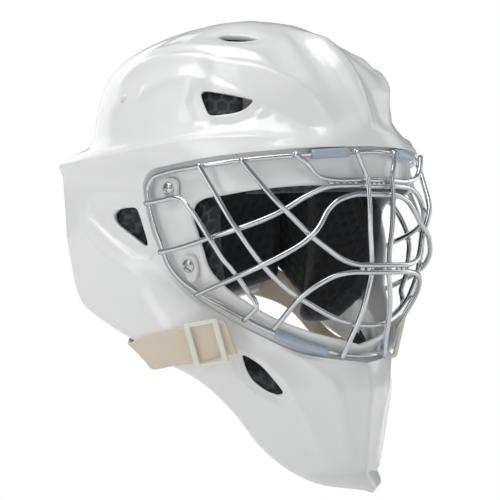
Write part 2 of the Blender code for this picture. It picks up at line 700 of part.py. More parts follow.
def band(name, path, across, width, thickness, material):
    """A flat strap of one width along a path; across is the way its width lies."""
    path = np.asarray(path, float)
    half = unit(np.asarray(across, float) + 0 * path) * width / 2
    return ribbon(name, path + half, path - half, thickness, material)


def make_harness():
    for side, word in ((1, "right"), (-1, "left")):
        upper, lower = lower_strap_edges(side)
        strap = ribbon("lower_strap_" + word, upper, lower, STRAP_THICKNESS, ELASTIC)
        make_snap("lower_snap_" + word, side * -54.5, -20, strap)
        make_buckle(word, side)
        edges = []
        for route, landing in (
                ([(108, 112), (118, 108), (128, 102)], [(-52, 87), (-43, 79)]),
                ([(112, 97), (121, 92), (130, 87)], [(-58, 73), (-49, 62)])):
            turn, height = np.array(route, float).T
            in_shell = on_head(turn, height, -SHELL_WALL - 2.5)
            turn, height = np.array(landing, float).T
            on_plate = back_point(turn, height, LANDING)
            edges.append(spline(np.concatenate([in_shell, on_plate]), 13) * (side, 1, 1))
        strap = ribbon("upper_strap_" + word, edges[0], edges[1], STRAP_THICKNESS, DARK_STRAP)
        make_snap("upper_snap_" + word, side * -47, 71.5, strap)
        chin = spline(np.concatenate([
            at(side * np.array([40.0, 54]), np.array([-101.0, -95]), np.array([68.0, 74])),
            on_head(side * np.array([72.0, 82]), np.array([-74.0, -64]), -SHELL_WALL - 3.5)]), 11)
        band("chin_strap_" + word, chin, (0, 0, 1), 14, STRAP_THICKNESS, DARK_STRAP)
    crown = [(0, 95.4, 118), (0, 93.0, 108), (0, 92.2, 100), (0, 95, 91), (0, 99.3, 83),
             (0, 103.2, 76)]
    band("crown_strap", spline(crown, 11), (1, 0, 0), STRAP_CROWN_WIDTH, STRAP_THICKNESS, DARK_STRAP)
    make_chin_cup()


def make_snap(name, turn, height, strap):
    """Press stud that goes through a strap's end into the backplate's outer face."""
    centre = back_point(turn, height)
    normal = outward(back_point, turn, height)
    if normal[1] < 0:
        normal = -normal
    cut(strap, turned("hole_" + name, [(2.4, 9), (2.4, -3)], centre, normal, None, CUTTERS))
    top = LANDING + STRAP_THICKNESS / 2 + 2 * GAP
    turned(name, [(4.5, top + 1.7), (6.0, top + 1.1), (6.0, top), (2.0, top), (2.0, GAP)],
           centre, normal, SCREW)


def make_chin_cup():
    """Soft cup under the chin, hung between the two chin straps."""
    turn = np.linspace(-38, 38, 11)[None, :]
    way = np.linspace(0, 1, 5)[:, None]
    height = -112 + 22 * way + 0 * turn
    radius = 60 + 9 * way + 0 * turn
    points = at(turn + 0 * way, height, radius)
    mesh = mesh_from("chin_cup", points, grid_faces(5, 11, False), away_from=(0, AXIS_Y, -70))
    thicken(add_object("chin_cup", mesh, FOAM), 6)


def make_rivets(shell):
    """Rivets that hold the harness inside the shell."""
    spots = {"side_rivet_right": RIVET_SPOT, "side_rivet_left": (-RIVET_SPOT[0], RIVET_SPOT[1]),
             "crown_rivet_right": (176, 118), "crown_rivet_left": (-176, 118)}
    for name, (turn, height) in spots.items():
        centre = on_head(turn, height)
        normal = outward(on_head, turn, height)
        hole = turned("hole_" + name, [(2.2, 6), (2.2, -9)], centre, normal, None, CUTTERS)
        cut(shell, hole)
        turned(name, [(1.6, 1.9), (3.1, 1.2), (3.4, GAP), (1.8, GAP), (1.8, -SHELL_WALL - 0.6)],
               centre, normal, RIVET)


def buckle_frame(side):
    """Middle of the strap behind the buckle, the way out, along it to the back, and up."""
    upper, lower = lower_strap_edges(side, 201)
    middle = (upper + lower) / 2
    turn = np.degrees(np.arctan2(np.abs(middle[:, 0]), AXIS_Y - middle[:, 1]))
    k = int(np.argmin(np.abs(turn[:90] - BUCKLE_TURN)))
    along = unit(middle[k + 8] - middle[k - 8])
    normal = unit(np.cross(upper[k] - lower[k], along)) * side
    if normal[0] * side > 0:
        normal = -normal
    return middle[k], normal, along, unit(np.cross(along, normal)) * side


def make_buckle(word, side):
    """Slide adjuster: a rectangular frame that the strap runs behind."""
    centre, normal, level, upward = buckle_frame(side)
    base = STRAP_THICKNESS / 2 + 1.2

    def block(half_a, half_b, low, high):
        corners = np.array([(-half_a, -half_b), (half_a, -half_b), (half_a, half_b),
                            (-half_a, half_b)])
        flat = centre + corners[:, :1] * level + corners[:, 1:] * upward
        points = np.concatenate([flat + normal * high, flat + normal * low])
        faces = [(0, 1, 2, 3), (7, 6, 5, 4), (0, 4, 5, 1), (1, 5, 6, 2), (2, 6, 7, 3), (3, 7, 4, 0)]
        return points, faces

    name = "buckle_" + word
    points, faces = block(12, 15.5, base, base + 3)
    frame = add_object(name, mesh_from(name, points, faces, False), BUCKLE)
    edge = frame.modifiers.new("round", "BEVEL")
    edge.width = 0.7 * MM
    edge.segments = 1
    points, faces = block(8.2, 13.2, base - 3, base + 6)
    window = add_object("window_" + word, mesh_from("window_" + word, points, faces, False),
                        None, CUTTERS)
    cut(frame, window)


def hang_on(pivot, names):
    """Puts the origin of each piece at its joint's pivot; the piece stays in place."""
    place = Vector(to_metres(pivot)[0].tolist())
    for name in names:
        piece = bpy.data.objects[name]
        piece.data.transform(Matrix.Translation(-place))
        piece.location = place


SHELL = make_shell()
make_backplate()
make_cage()
make_sleeves()
make_clips(SHELL)
make_rivets(SHELL)
make_liner()
make_harness()
hang_on((0, HINGE_Y, HINGE_Z), ("backplate", "back_pad", "lower_snap_right", "lower_snap_left",
                                "upper_snap_right", "upper_snap_left"))
hang_on(buckle_frame(1)[0], ("buckle_right",))
hang_on(buckle_frame(-1)[0], ("buckle_left",))
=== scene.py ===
# %% [markdown]
# # A goalie mask, piece by piece
# The mask is a moulded shell with a cage of bent steel wire in front of the face, black foam
# inside, a rear plate that swings on elastic, and a harness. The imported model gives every
# piece its place and size. This file gives each one its fine shape and its finish.

import bpy
import numpy as np
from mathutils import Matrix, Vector


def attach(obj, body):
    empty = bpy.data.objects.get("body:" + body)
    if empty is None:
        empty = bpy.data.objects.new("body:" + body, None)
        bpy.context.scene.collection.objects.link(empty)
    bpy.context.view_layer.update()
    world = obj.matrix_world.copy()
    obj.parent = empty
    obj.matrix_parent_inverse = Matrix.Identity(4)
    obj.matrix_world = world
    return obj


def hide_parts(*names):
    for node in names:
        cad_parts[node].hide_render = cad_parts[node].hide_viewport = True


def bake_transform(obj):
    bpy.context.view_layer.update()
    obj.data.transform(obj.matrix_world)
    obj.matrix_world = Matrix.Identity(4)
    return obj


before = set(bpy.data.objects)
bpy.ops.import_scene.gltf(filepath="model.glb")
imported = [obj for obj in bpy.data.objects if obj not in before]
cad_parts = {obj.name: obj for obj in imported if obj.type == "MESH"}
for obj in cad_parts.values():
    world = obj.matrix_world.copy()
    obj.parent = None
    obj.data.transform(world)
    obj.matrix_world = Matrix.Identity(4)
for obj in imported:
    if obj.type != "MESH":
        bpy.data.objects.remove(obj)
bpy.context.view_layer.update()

# %% [markdown]
# ## Camera, light and floor
# A mask like this is shown on white, so the floor fades into a white dome. The dome is
# seen by the camera only, which leaves the light to five soft boxes and a grey room. Bright
# wire needs that: it mirrors the room, and a room that is white all round makes it look flat.

# %% Colours and a node helper
def linear(hex_colour, alpha=1.0):
    """sRGB hex to linear light: c/12.92 below 0.04045, else ((c + 0.055)/1.055)^2.4."""
    c = np.array([int(hex_colour[i:i + 2], 16) for i in (1, 3, 5)]) / 255
    light = np.where(c <= 0.04045, c / 12.92, ((c + 0.055) / 1.055) ** 2.4)
    return (*light.tolist(), alpha)


def add_node(material, kind, settings=None, links=None):
    """One node: settings go on its sockets or its own fields, links come from other sockets."""
    node = material.node_tree.nodes.new(kind)
    for key, value in (settings or {}).items():
        if isinstance(key, str) and hasattr(node, key):
            setattr(node, key, value)
        else:
            node.inputs[key].default_value = value
    for key, source in (links or {}).items():
        material.node_tree.links.new(source, node.inputs[key])
    return node


def new_material(name, colour, roughness, metallic=0.0, **sockets):
    """A Principled material whose constant values sit on the shader's own sockets."""
    material = bpy.data.materials.new(name)
    material.use_nodes = True
    shader = material.node_tree.nodes["Principled BSDF"]
    shader.inputs["Base Color"].default_value = linear(colour)
    shader.inputs["Roughness"].default_value = roughness
    shader.inputs["Metallic"].default_value = metallic
    for socket, value in sockets.items():
        shader.inputs[socket.replace("_", " ")].default_value = value
    return material, shader


def noise(material, place, scale, detail):
    """Noise on the piece's own coordinates."""
    return add_node(material, "ShaderNodeTexNoise", {"Scale": scale, "Detail": detail},
                    {"Vector": place.outputs["Object"]})


def clouded(material, shader, dark, light, scale, detail):
    """Base colour that wanders between two tones; gives the coordinates and the tone."""
    place = add_node(material, "ShaderNodeTexCoord")
    tone = add_node(material, "ShaderNodeMix",
                    {"data_type": "RGBA", 6: linear(dark), 7: linear(light)},
                    {"Factor": noise(material, place, scale, detail).outputs["Fac"]})
    material.node_tree.links.new(tone.outputs[2], shader.inputs["Base Color"])
    return place, tone


def dented(material, shader, height, strength, distance):
    """Bump from a height, with its distance in metres."""
    bump = add_node(material, "ShaderNodeBump", {"Strength": strength, "Distance": distance},
                    {"Height": height})
    material.node_tree.links.new(bump.outputs["Normal"], shader.inputs["Normal"])


# %% Camera
RIGHT = Vector((np.sqrt(0.5), -np.sqrt(0.5), 0))
BACK = Vector((-np.sqrt(0.5), -np.sqrt(0.5), 0))
TARGET = RIGHT * 0.00588 + Vector((0, 0, -0.134))

lens = bpy.data.cameras.new("camera")
lens.sensor_width = 36
lens.lens = 230.4
lens.clip_start = 0.1
lens.clip_end = 60
camera = bpy.data.objects.new("camera", lens)
camera.location = TARGET + BACK * 2.24
camera.rotation_euler = (-BACK).to_track_quat("-Z", "Y").to_euler()
bpy.context.scene.collection.objects.link(camera)
bpy.context.scene.camera = camera
bpy.context.scene.view_settings.view_transform = "Standard"

# %% Soft boxes, grey room and white surroundings
def soft_box(name, place, size, power, aim=(0, 0, -0.13)):
    """An area light that looks at the mask; sizes in metres, power in watts."""
    data = bpy.data.lights.new(name, "AREA")
    data.shape = "RECTANGLE"
    data.size, data.size_y = size
    data.energy = power
    light = bpy.data.objects.new(name, data)
    light.location = place
    light.rotation_euler = (Vector(aim) - Vector(place)).to_track_quat("-Z", "Y").to_euler()
    bpy.context.scene.collection.objects.link(light)
    return light


soft_box("top_box", (-0.5, 0.1, 1.5), (1.3, 1.3), 19)
soft_box("left_box", (-1.9, 0.1, 0.5), (0.6, 1.4), 5)
soft_box("front_box", (-0.3, -2.2, 0.5), (1.2, 1.2), 4)
soft_box("right_box", (1.7, -0.6, 0.4), (0.7, 1.6), 4)
soft_box("rear_box", (0.6, 2.0, 0.6), (1.4, 1.2), 5)

room = bpy.data.worlds.new("room")
room.use_nodes = True
room.node_tree.nodes["Background"].inputs["Color"].default_value = linear("#B4B6B8")
room.node_tree.nodes["Background"].inputs["Strength"].default_value = 0.50
bpy.context.scene.world = room

white_dome, shader = new_material("white_surroundings", "#FFFFFF", 1.0)
shader.inputs["Emission Color"].default_value = (1, 1, 1, 1)
shader.inputs["Emission Strength"].default_value = 1.0
shader.inputs["Base Color"].default_value = (0, 0, 0, 1)
shader.inputs["Specular IOR Level"].default_value = 0.0

# The floor is pale and matt under the mask and turns into the same white further out.
pale_floor, shader = new_material("pale_floor", "#EDEDED", 0.9)
place = add_node(pale_floor, "ShaderNodeTexCoord")
reach = add_node(pale_floor, "ShaderNodeVectorMath", {"operation": "LENGTH"},
                 {0: place.outputs["Object"]})
fade = add_node(pale_floor, "ShaderNodeMapRange",
                {"From Min": 0.5, "From Max": 1.2, "interpolation_type": "SMOOTHSTEP"},
                {"Value": reach.outputs["Value"]})
inverse = add_node(pale_floor, "ShaderNodeMath", {"operation": "SUBTRACT", 0: 1.0},
                   {1: fade.outputs["Result"]})
tint = add_node(pale_floor, "ShaderNodeCombineColor",
                links={k: inverse.outputs[0] for k in ("Red", "Green", "Blue")})
pale_floor.node_tree.links.new(tint.outputs["Color"], shader.inputs["Base Color"])
pale_floor.node_tree.links.new(fade.outputs["Result"], shader.inputs["Emission Strength"])
shader.inputs["Emission Color"].default_value = (1, 1, 1, 1)
shader.inputs["Specular IOR Level"].default_value = 0.0


def grid_faces(rows, columns, closed):
    """Quads of a grid, as one array; closed runs each row round to its first point."""
    i = np.arange(rows - 1)[:, None]
    j = np.arange(columns if closed else columns - 1)[None, :]
    k = (j + 1) % columns
    quads = np.stack([i * columns + j, i * columns + k,
                      (i + 1) * columns + k, (i + 1) * columns + j], -1)
    return quads.reshape(-1, 4)


turn = np.linspace(0, 2 * np.pi, 64, endpoint=False)[None, :]
lean = np.linspace(0.002, np.pi - 0.002, 40)[:, None]
dome_points = 9.0 * np.stack([np.sin(lean) * np.cos(turn), np.sin(lean) * np.sin(turn),
                              np.cos(lean) + 0 * turn], -1)
disc_reach = np.array([0.01, 0.5, 1, 2, 4, 8])[:, None]
disc_points = np.stack([disc_reach * np.cos(turn), disc_reach * np.sin(turn),
                        0 * turn * disc_reach], -1)
for name, points, material in (("surroundings", dome_points, white_dome),
                               ("floor", disc_points, pale_floor)):
    mesh = bpy.data.meshes.new(name)
    rows, columns = points.shape[:2]
    mesh.from_pydata(points.reshape(-1, 3).tolist(), [], grid_faces(rows, columns, True).tolist())
    mesh.materials.append(material)
    backdrop = bpy.data.objects.new(name, mesh)
    bpy.context.scene.collection.objects.link(backdrop)
    if name == "surroundings":
        backdrop.visible_diffuse = False
        backdrop.visible_glossy = False
        backdrop.visible_transmission = False
        backdrop.visible_shadow = False
    else:
        backdrop.location = (0, 0, -0.42)

# %% [markdown]
# ## The forms everything is laid on
# Every piece of the mask follows one of three forms: the head form of the shell, the form of
# the cage, and the form of the rear plate. Each is a pile of level sections, and each section
# is a superellipse, a curve between an ellipse and a rounded box. A place on a form is
# a turn from straight ahead, in degrees, and a height. Lengths are in millimetres from the
# middle of the cage, and `metres` moves them to the crown rest, where the frame has its origin.

# %% Forms
MM = 0.001
CROWN_RISE = 134.0
AXIS_Y = -15.0
SHELL_WALL = 3.5
WIRE_RADIUS = 1.8
LAYER_PITCH = 4.2
FLANGE_DROP = 8.123
STRAP_STANDOFF = 2.8
MM_PER_DEGREE = 1.8

# Head form: height, half width, front, rear, squareness in front, squareness behind.
SECTIONS = np.array([
    (-172, 62, -127, 95, 1.58, 2.2),
    (-158, 70, -124, 98, 1.58, 2.2),
    (-148, 77, -117, 100, 1.58, 2.2),
    (-130, 85, -119, 102, 1.52, 2.2),
    (-110, 93, -122, 104, 1.47, 2.2),
    (-90, 98, -128, 106, 1.42, 2.2),
    (-75, 100, -127, 107, 1.45, 3.0),
    (-50, 103, -128, 110, 1.7, 3.8),
    (-20, 106, -131, 112, 2.0, 4.2),
    (20, 107, -132, 113, 2.1, 4.4),
    (48, 108, -129, 114, 1.95, 4.4),
    (58, 110.5, -128.5, 114, 1.9, 4.4),
    (65, 108, -128.5, 110, 1.85, 3.0),
    (72, 104.5, -128.5, 108, 1.75, 2.2),
    (79, 102, -127, 108, 1.68, 2.05),
    (87, 99.5, -124, 109, 1.63, 2.05),
    (96, 97, -119, 109, 1.65, 2.05),
    (110, 92, -110.5, 108, 1.78, 2.0),
    (118, 88, -104.5, 105, 1.75, 2.0),
    (126.5, 82, -98, 98, 1.55, 2.0),
    (133.5, 74, -90.5, 91, 1.45, 2.0),
    (141.5, 62, -80, 78, 1.4, 2.0),
    (150.5, 44, -57, 53, 1.5, 2.0),
    (155.5, 28, -40, 30, 1.7, 2.0),
    (158.2, 8, -22, -6, 2.0, 2.0)], float)

# Cage form: height, half width, front, squareness.
CAGE_SECTIONS = np.array([
    (-80, 76, -118, 2.0),
    (-60, 81, -123, 2.05),
    (-45, 85, -128, 2.15),
    (-30, 91, -132.5, 2.3),
    (-10, 100, -136.5, 2.45),
    (15, 104, -135, 2.5),
    (45, 105, -132, 2.35),
    (65, 106, -129.5, 2.2),
    (80, 106, -127, 2.15)], float)

# Rear plate form: height, half width, rear.
BACK_SECTIONS = np.array([
    (-50, 68, 100), (-20, 80, 110), (30, 84, 115), (65, 78, 108), (85, 66, 94),
    (98, 56, 84)], float)
BACK_REACH = 62.0


def smooth(x, xs, ys):
    """Monotone cubic curve through the knots xs, ys, read at x."""
    step = np.diff(xs)
    slope = np.diff(ys) / step
    tangent = np.zeros(len(xs))
    before = 2 * step[1:] + step[:-1]
    after = step[1:] + 2 * step[:-1]
    same_way = slope[:-1] * slope[1:] > 0
    safe = np.where(slope == 0, 1.0, slope)
    mean = (before + after) / (before / safe[:-1] + after / safe[1:])
    tangent[1:-1] = np.where(same_way, mean, 0.0)
    tangent[0] = slope[0]
    tangent[-1] = slope[-1]
    x = np.clip(x, xs[0], xs[-1])
    i = np.clip(np.searchsorted(xs, x) - 1, 0, len(step) - 1)
    t = (x - xs[i]) / step[i]
    start = (2 * t**3 - 3 * t**2 + 1) * ys[i] + (t**3 - 2 * t**2 + t) * step[i] * tangent[i]
    end = (3 * t**2 - 2 * t**3) * ys[i + 1] + (t**3 - t**2) * step[i] * tangent[i + 1]
    return start + end


def superellipse(turn, half_width, depth, power):
    """Distance from the axis to |x/half_width|^power + |y/depth|^power = 1."""
    return (np.abs(np.sin(turn) / half_width) ** power
            + np.abs(np.cos(turn) / depth) ** power) ** (-1 / power)


def head_radius(turn, height):
    """Distance from the upright axis to the head form, turn in radians."""
    half, front, rear, front_power, rear_power = (
        smooth(height, SECTIONS[:, 0], SECTIONS[:, k]) for k in range(1, 6))
    ahead = np.cos(turn) > 0
    depth = np.where(ahead, AXIS_Y - front, rear - AXIS_Y)
    power = np.where(ahead, front_power, rear_power)
    return superellipse(turn, half, depth, power)


def cage_radius(turn, height):
    """Distance from the upright axis to the middle of the outer wires."""
    half, front, power = (
        smooth(height, CAGE_SECTIONS[:, 0], CAGE_SECTIONS[:, k]) for k in range(1, 4))
    return superellipse(turn, half, AXIS_Y - front, power)


def blend_weight(value, low, high):
    """0 below low, 1 above high, and a smooth step between."""
    t = np.clip((value - low) / (high - low), 0, 1)
    return t * t * (3 - 2 * t)


def liner_radius(turn, height):
    """Outer face of the liner: inside the shell, and inside the flange near the cage."""
    inside_shell = head_radius(turn, height) - SHELL_WALL - 1.5
    inside_flange = cage_radius(turn, height) - FLANGE_DROP - SHELL_WALL - 1.0
    near_cage = (1 - blend_weight(np.abs(turn), 1.66, 1.92))
    near_cage = near_cage * (1 - blend_weight(height, 76, 92)) * blend_weight(height, -86, -72)
    return inside_shell - near_cage * np.maximum(inside_shell - inside_flange, 0)


def at(turn_degrees, height, radius):
    """Point at a turn from straight ahead (right side positive), height and radius."""
    turn = np.radians(turn_degrees)
    height = np.asarray(height, float)
    return np.stack([-radius * np.sin(turn), AXIS_Y - radius * np.cos(turn),
                     height + 0 * radius], -1)


def on_head(turn_degrees, height, out=0.0):
    turn = np.radians(turn_degrees)
    return at(turn_degrees, height, head_radius(turn, np.asarray(height, float)) + out)


def on_cage(turn_degrees, height, layer):
    turn = np.radians(turn_degrees)
    out = (np.asarray(layer, float) - 1) * LAYER_PITCH
    return at(turn_degrees, height, cage_radius(turn, np.asarray(height, float)) + out)


def back_point(turn_degrees, height, out=0.0):
    """Point on the backplate's outer face, a turn from straight back (left positive)."""
    turn = np.radians(turn_degrees)
    height = np.asarray(height, float)
    half = smooth(height, BACK_SECTIONS[:, 0], BACK_SECTIONS[:, 1]) + out
    rear = smooth(height, BACK_SECTIONS[:, 0], BACK_SECTIONS[:, 2]) + out
    return np.stack([half * np.sin(turn) / np.sin(np.radians(BACK_REACH)),
                     rear * np.cos(turn) ** 0.8, height + 0 * turn], -1)


def outward(surface, turn_degrees, height):
    """Unit normal of a surface(turn, height), pointing away from the head."""
    step = 0.5
    across = surface(turn_degrees + step, height) - surface(turn_degrees - step, height)
    up = surface(turn_degrees, height + step) - surface(turn_degrees, height - step)
    normal = np.cross(up, across)
    return normal / np.linalg.norm(normal, axis=-1, keepdims=True)


def unit(vectors):
    return vectors / np.linalg.norm(vectors, axis=-1, keepdims=True)


def spline(points, count):
    """A round curve through points: cubic pieces over the distance along them."""
    points = np.asarray(points, float)
    along = np.concatenate([[0], np.cumsum(np.linalg.norm(np.diff(points, axis=0), axis=1))])
    tangent = np.gradient(points, along, axis=0)
    where = np.linspace(0, along[-1], count)
    i = np.clip(np.searchsorted(along, where) - 1, 0, len(points) - 2)
    step = (along[i + 1] - along[i])[:, None]
    t = ((where - along[i])[:, None]) / step
    return ((2 * t**3 - 3 * t**2 + 1) * points[i] + (t**3 - 2 * t**2 + t) * step * tangent[i]
            + (3 * t**2 - 2 * t**3) * points[i + 1] + (t**3 - t**2) * step * tangent[i + 1])


def metres(points):
    """Millimetres from the cage's middle to metres from the crown rest."""
    return (np.asarray(points, float) - (0, 0, CROWN_RISE)) * MM


print("head form at cage height: half width %.1f mm" % head_radius(np.pi / 2, np.array(0.0)))

# %% [markdown]
# ## From a grid of points to a piece
# Every new piece is a grid of points worked out at once. One function turns a grid into a mesh:
# it joins the rows round, closes the ends with a fan of triangles, and turns the faces outwards
# when the enclosed volume comes out negative. A cloth piece also stores metres along and
# across it as its UV map, so that a weave follows the strap round every bend.

# %% Mesh helpers
def solid_from_rings(name, rings, uv=None, closed=False):
    """A closed body from rings of points, rows x columns x 3.

    Each row is a loop. The first and last rows are closed by a fan to their mean point, or,
    if closed, joined to each other. Volume = sum of p0 . (p1 x p2) / 6 over the triangles.
    """
    rings = np.asarray(rings, float)
    rows, columns = rings.shape[:2]
    points = rings.reshape(-1, 3)
    quads = grid_faces(rows, columns, True)
    j = np.arange(columns)
    k = (j + 1) % columns
    if closed:
        last = (rows - 1) * columns
        quads = np.concatenate([quads, np.stack([last + j, last + k, k, j], -1)])
        fans = np.zeros((0, 3), int)
    else:
        points = np.concatenate([points, rings[:1].mean(1), rings[-1:].mean(1)])
        start, end = rows * columns, rows * columns + 1
        last = (rows - 1) * columns
        fans = np.concatenate([np.stack([k, j, start + 0 * j], -1),
                               np.stack([last + j, last + k, end + 0 * j], -1)])
    return finish_mesh(name, points, quads, fans, uv)


def finish_mesh(name, points, quads, triangles, uv=None):
    """Puts points and faces into a new object, with the faces looking outwards."""
    tris = np.concatenate([quads[:, [0, 1, 2]], quads[:, [0, 2, 3]], triangles])
    a, b, c = (points[tris[:, i]] for i in range(3))
    if np.einsum("ij,ij->i", a, np.cross(b, c)).sum() < 0:
        quads, triangles = quads[:, ::-1], triangles[:, ::-1]
    loops = np.concatenate([quads.ravel(), triangles.ravel()])
    sizes = np.concatenate([np.full(len(quads), 4), np.full(len(triangles), 3)])
    mesh = bpy.data.meshes.new(name)
    mesh.vertices.add(len(points))
    mesh.vertices.foreach_set("co", metres(points).ravel())
    mesh.loops.add(len(loops))
    mesh.loops.foreach_set("vertex_index", loops)
    mesh.polygons.add(len(sizes))
    mesh.polygons.foreach_set("loop_start", np.concatenate([[0], np.cumsum(sizes)[:-1]]))
    mesh.update(calc_edges=True)
    mesh.shade_smooth()
    if uv is not None:
        layer = mesh.uv_layers.new(name="UVMap")
        layer.data.foreach_set("uv", np.asarray(uv, float)[loops].ravel())
    piece = bpy.data.objects.new(name, mesh)
    bpy.context.scene.collection.objects.link(piece)
    return piece


def dress(piece, material, nodes=(), body="shell_body"):
    """Finish of a piece: its material, the record's slot, the CAD nodes it stands for."""
    piece.data.materials.clear()
    piece.data.materials.append(material)
    if nodes:
        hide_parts(*nodes)
    if body:
        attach(piece, body)
    return piece


def bake_modifiers(piece):
    """Replaces a piece's mesh with what its modifiers make of it."""
    graph = bpy.context.evaluated_depsgraph_get()
    baked = bpy.data.meshes.new_from_object(piece.evaluated_get(graph))
    piece.modifiers.clear()
    piece.data = baked
    return piece


def cut_away(piece, cutters):
    """Takes the cutters out of a piece with exact Booleans and removes the cutters."""
    for cutter in cutters:
        knife = piece.modifiers.new("cut", "BOOLEAN")
        knife.operation = "DIFFERENCE"
        knife.object = cutter
    bake_modifiers(piece)
    for cutter in cutters:
        bpy.data.objects.remove(cutter)
    return piece


def frame_on(surface, turn, height):
    """Point, outward normal, level direction and upward direction on a form."""
    centre = surface(turn, height)
    normal = outward(surface, turn, height)
    level = unit(np.cross((0, 0, 1), normal))
    return centre, normal, level, np.cross(normal, level)


SIDES = ((1, "right"), (-1, "left"))

# %% [markdown]
# ## The shell
# The real shell is laid up in a mould, about 3.5 mm thick, with long pressed-in folds that make
# it stiff. It could be sculpted, but then nothing would line up with the cage. Here the
# surface runs in rings from the face opening over the step to the rear edge, and every fold is a
# line drawn on the head form: the surface rises towards the line with one slope above it and
# another below it. The inside is the same surface moved in by the wall, and half circles
# round the two edges off.

# %% Edges of the shell, from the top middle round to the chin
PORT_EDGE = np.array([
    (0, 0, 45.5), (0.12, 26, 45), (0.24, 45, 42), (0.34, 58, 38), (0.40, 66, 35.5),
    (0.43, 70.5, 31), (0.46, 72, 24), (0.52, 70, 12), (0.58, 68, 1), (0.64, 66, -12),
    (0.70, 61, -24), (0.76, 50, -37), (0.83, 38, -48), (0.90, 24, -56.5), (1, 0, -66)], float)

STEP_EDGE = np.array([
    (0, 0, 70), (0.12, 26, 68), (0.24, 49, 64.5), (0.34, 67, 60.5), (0.40, 79.5, 57),
    (0.43, 89, 54), (0.46, 94, 43), (0.52, 90.5, 15), (0.58, 87, 0), (0.64, 83.5, -14),
    (0.70, 75, -30), (0.76, 60, -44.5), (0.83, 43, -58), (0.90, 25, -70), (1, 0, -76)], float)

REAR_EDGE = np.array([
    (0, 180, 92), (0.10, 166, 91), (0.20, 151, 86), (0.30, 140, 76), (0.38, 132, 65),
    (0.42, 129.5, 56), (0.47, 129.5, 38), (0.52, 127, 5), (0.57, 124.5, -26),
    (0.60, 122.5, -36), (0.64, 117, -44), (0.68, 109, -52), (0.73, 98, -61), (0.78, 84, -74),
    (0.82, 70, -86), (0.86, 56, -106), (0.90, 43, -131), (0.94, 29, -147.5),
    (0.97, 16, -156), (1, 0, -159)], float)

STEP_RISE = np.array([
    (0, 5), (0.24, 6), (0.43, 5.5), (0.52, 4.8), (0.64, 4), (0.76, 3), (0.86, 4), (1, 9)], float)

# %% Folds, as turn and height on the right half
# Line, rise of the crest in mm, how far it fades above it and below it in mm.
FOLDS = [
    # the crest over the long side panel, and the shelf above it
    ([(131, 57.5), (121, 58.5), (93, 66), (78, 70), (64, 73), (50, 74), (33, 75)], 3.4, 7, 3),
    ([(118, 70), (103, 73), (81, 74), (71, 77), (50, 81), (28, 81)], -1.6, 9, 4),
    # the two long sweeps from the back of the dome down to the brow
    ([(124, 128), (103, 132), (90, 134), (73, 133), (59, 132), (46, 128), (32, 119)], 4.4, 16, 3.5),
    ([(128, 112), (118, 118), (94, 126), (74, 126), (59, 123), (43, 118), (30, 109), (20, 97),
      (13, 83)], 5.4, 5, 3.5),
    # the foot of the leaf-shaped hollow under the second sweep
    ([(76, 124), (66, 121), (50, 110), (39, 100), (31, 92), (23, 86), (15, 82)], -5.0, 4, 11),
    # the brow over the upper vent
    ([(104, 101), (94, 109), (86, 113), (76, 114), (64, 112)], 3.2, 9, 2.6),
    # the foot of the slope under the upper vent
    ([(66, 87), (56, 87), (45, 91), (37, 95)], -2.2, 3, 7),
    # the long crease down the side panel to the jaw
    ([(126, 34), (121, 20), (116, 6), (108, -6), (99, -14), (86, -27), (78, -36), (71, -42),
      (60, -45)], 4.2, 7, 24),
    # two creases that run from the port down the chin
    ([(34, -62), (27, -72), (22, -78), (17, -86), (13, -98), (11, -111), (8, -131), (6, -150)],
     2.8, 5, 9),
    ([(46, -73), (38, -82), (33, -91), (31, -98), (25, -111), (20, -128), (15, -143), (11, -158)],
     2.6, 10, 4),
]
# Pressed-in areas: outline, depth in mm, how soft the border is in mm.
HOLLOWS = [
    ([(118, 31), (113, 35), (98, 34.5), (93, 28), (89, 0), (92, -5), (98, -4), (108, 8),
      (118, 23)], 3.6, 1.6),
    ([(75, 100), (73, 111), (64, 112), (48, 105), (43, 100), (46, 92), (55, 86), (70, 86)], 2.2,
     2.2),
    ([(80, 143), (74, 149), (52, 148), (36, 144), (46, 138), (62, 137)], 1.4, 2.4),
    ([(55, -68), (43, -75), (34, -87), (31, -98), (37, -101), (45, -95), (52, -84)], 1.6, 2.2),
]
VENTS = [
    [(70, 105), (68, 108), (48, 102), (47, 100), (50, 95), (54, 92), (64, 90), (66, 92)],
    [(75, 144.5), (71, 146), (54, 145.5), (42, 143), (55, 140), (68, 140.5)],
    [(108.5, 24), (106, 28), (99, 29), (97.5, 26), (94, 8), (93.5, 3), (95, 2), (102, 11),
     (107.5, 18)],
    [(52, -69), (43, -78), (37, -89), (34, -95.5), (36, -97.5), (41, -95), (47, -88), (50, -80)],
]


def off_segments(turn, height, a, b):
    """From the nearest point of each segment to each place, and its share along the segment.

    The nearest point is a + t(b - a), with t = (p - a).(b - a) / |b - a|^2 kept in 0 to 1.
    """
    place = np.stack([turn * MM_PER_DEGREE, height], -1).reshape(-1, 1, 2)
    t = np.clip(((place - a) * (b - a)).sum(-1) / ((b - a) ** 2).sum(-1), 0, 1)
    return place, place - a - t[..., None] * (b - a), t


def beside(turn, height, line):
    """Distance from each place to a drawn line, positive above it, and the share along it."""
    knots = spline(np.array(line, float) * (MM_PER_DEGREE, 1), 40)
    a, b = knots[:-1], knots[1:]
    _, off, t = off_segments(turn, height, a, b)
    away = np.hypot(off[..., 0], off[..., 1])
    nearest = away.argmin(1)
    row = np.arange(len(nearest))
    off, step = off[row, nearest], (b - a)[nearest]
    side = np.sign(off[:, 0] * step[:, 1] - off[:, 1] * step[:, 0])
    share = (nearest + t[row, nearest]) / len(a)
    return (side * away[row, nearest]).reshape(turn.shape), share.reshape(turn.shape)


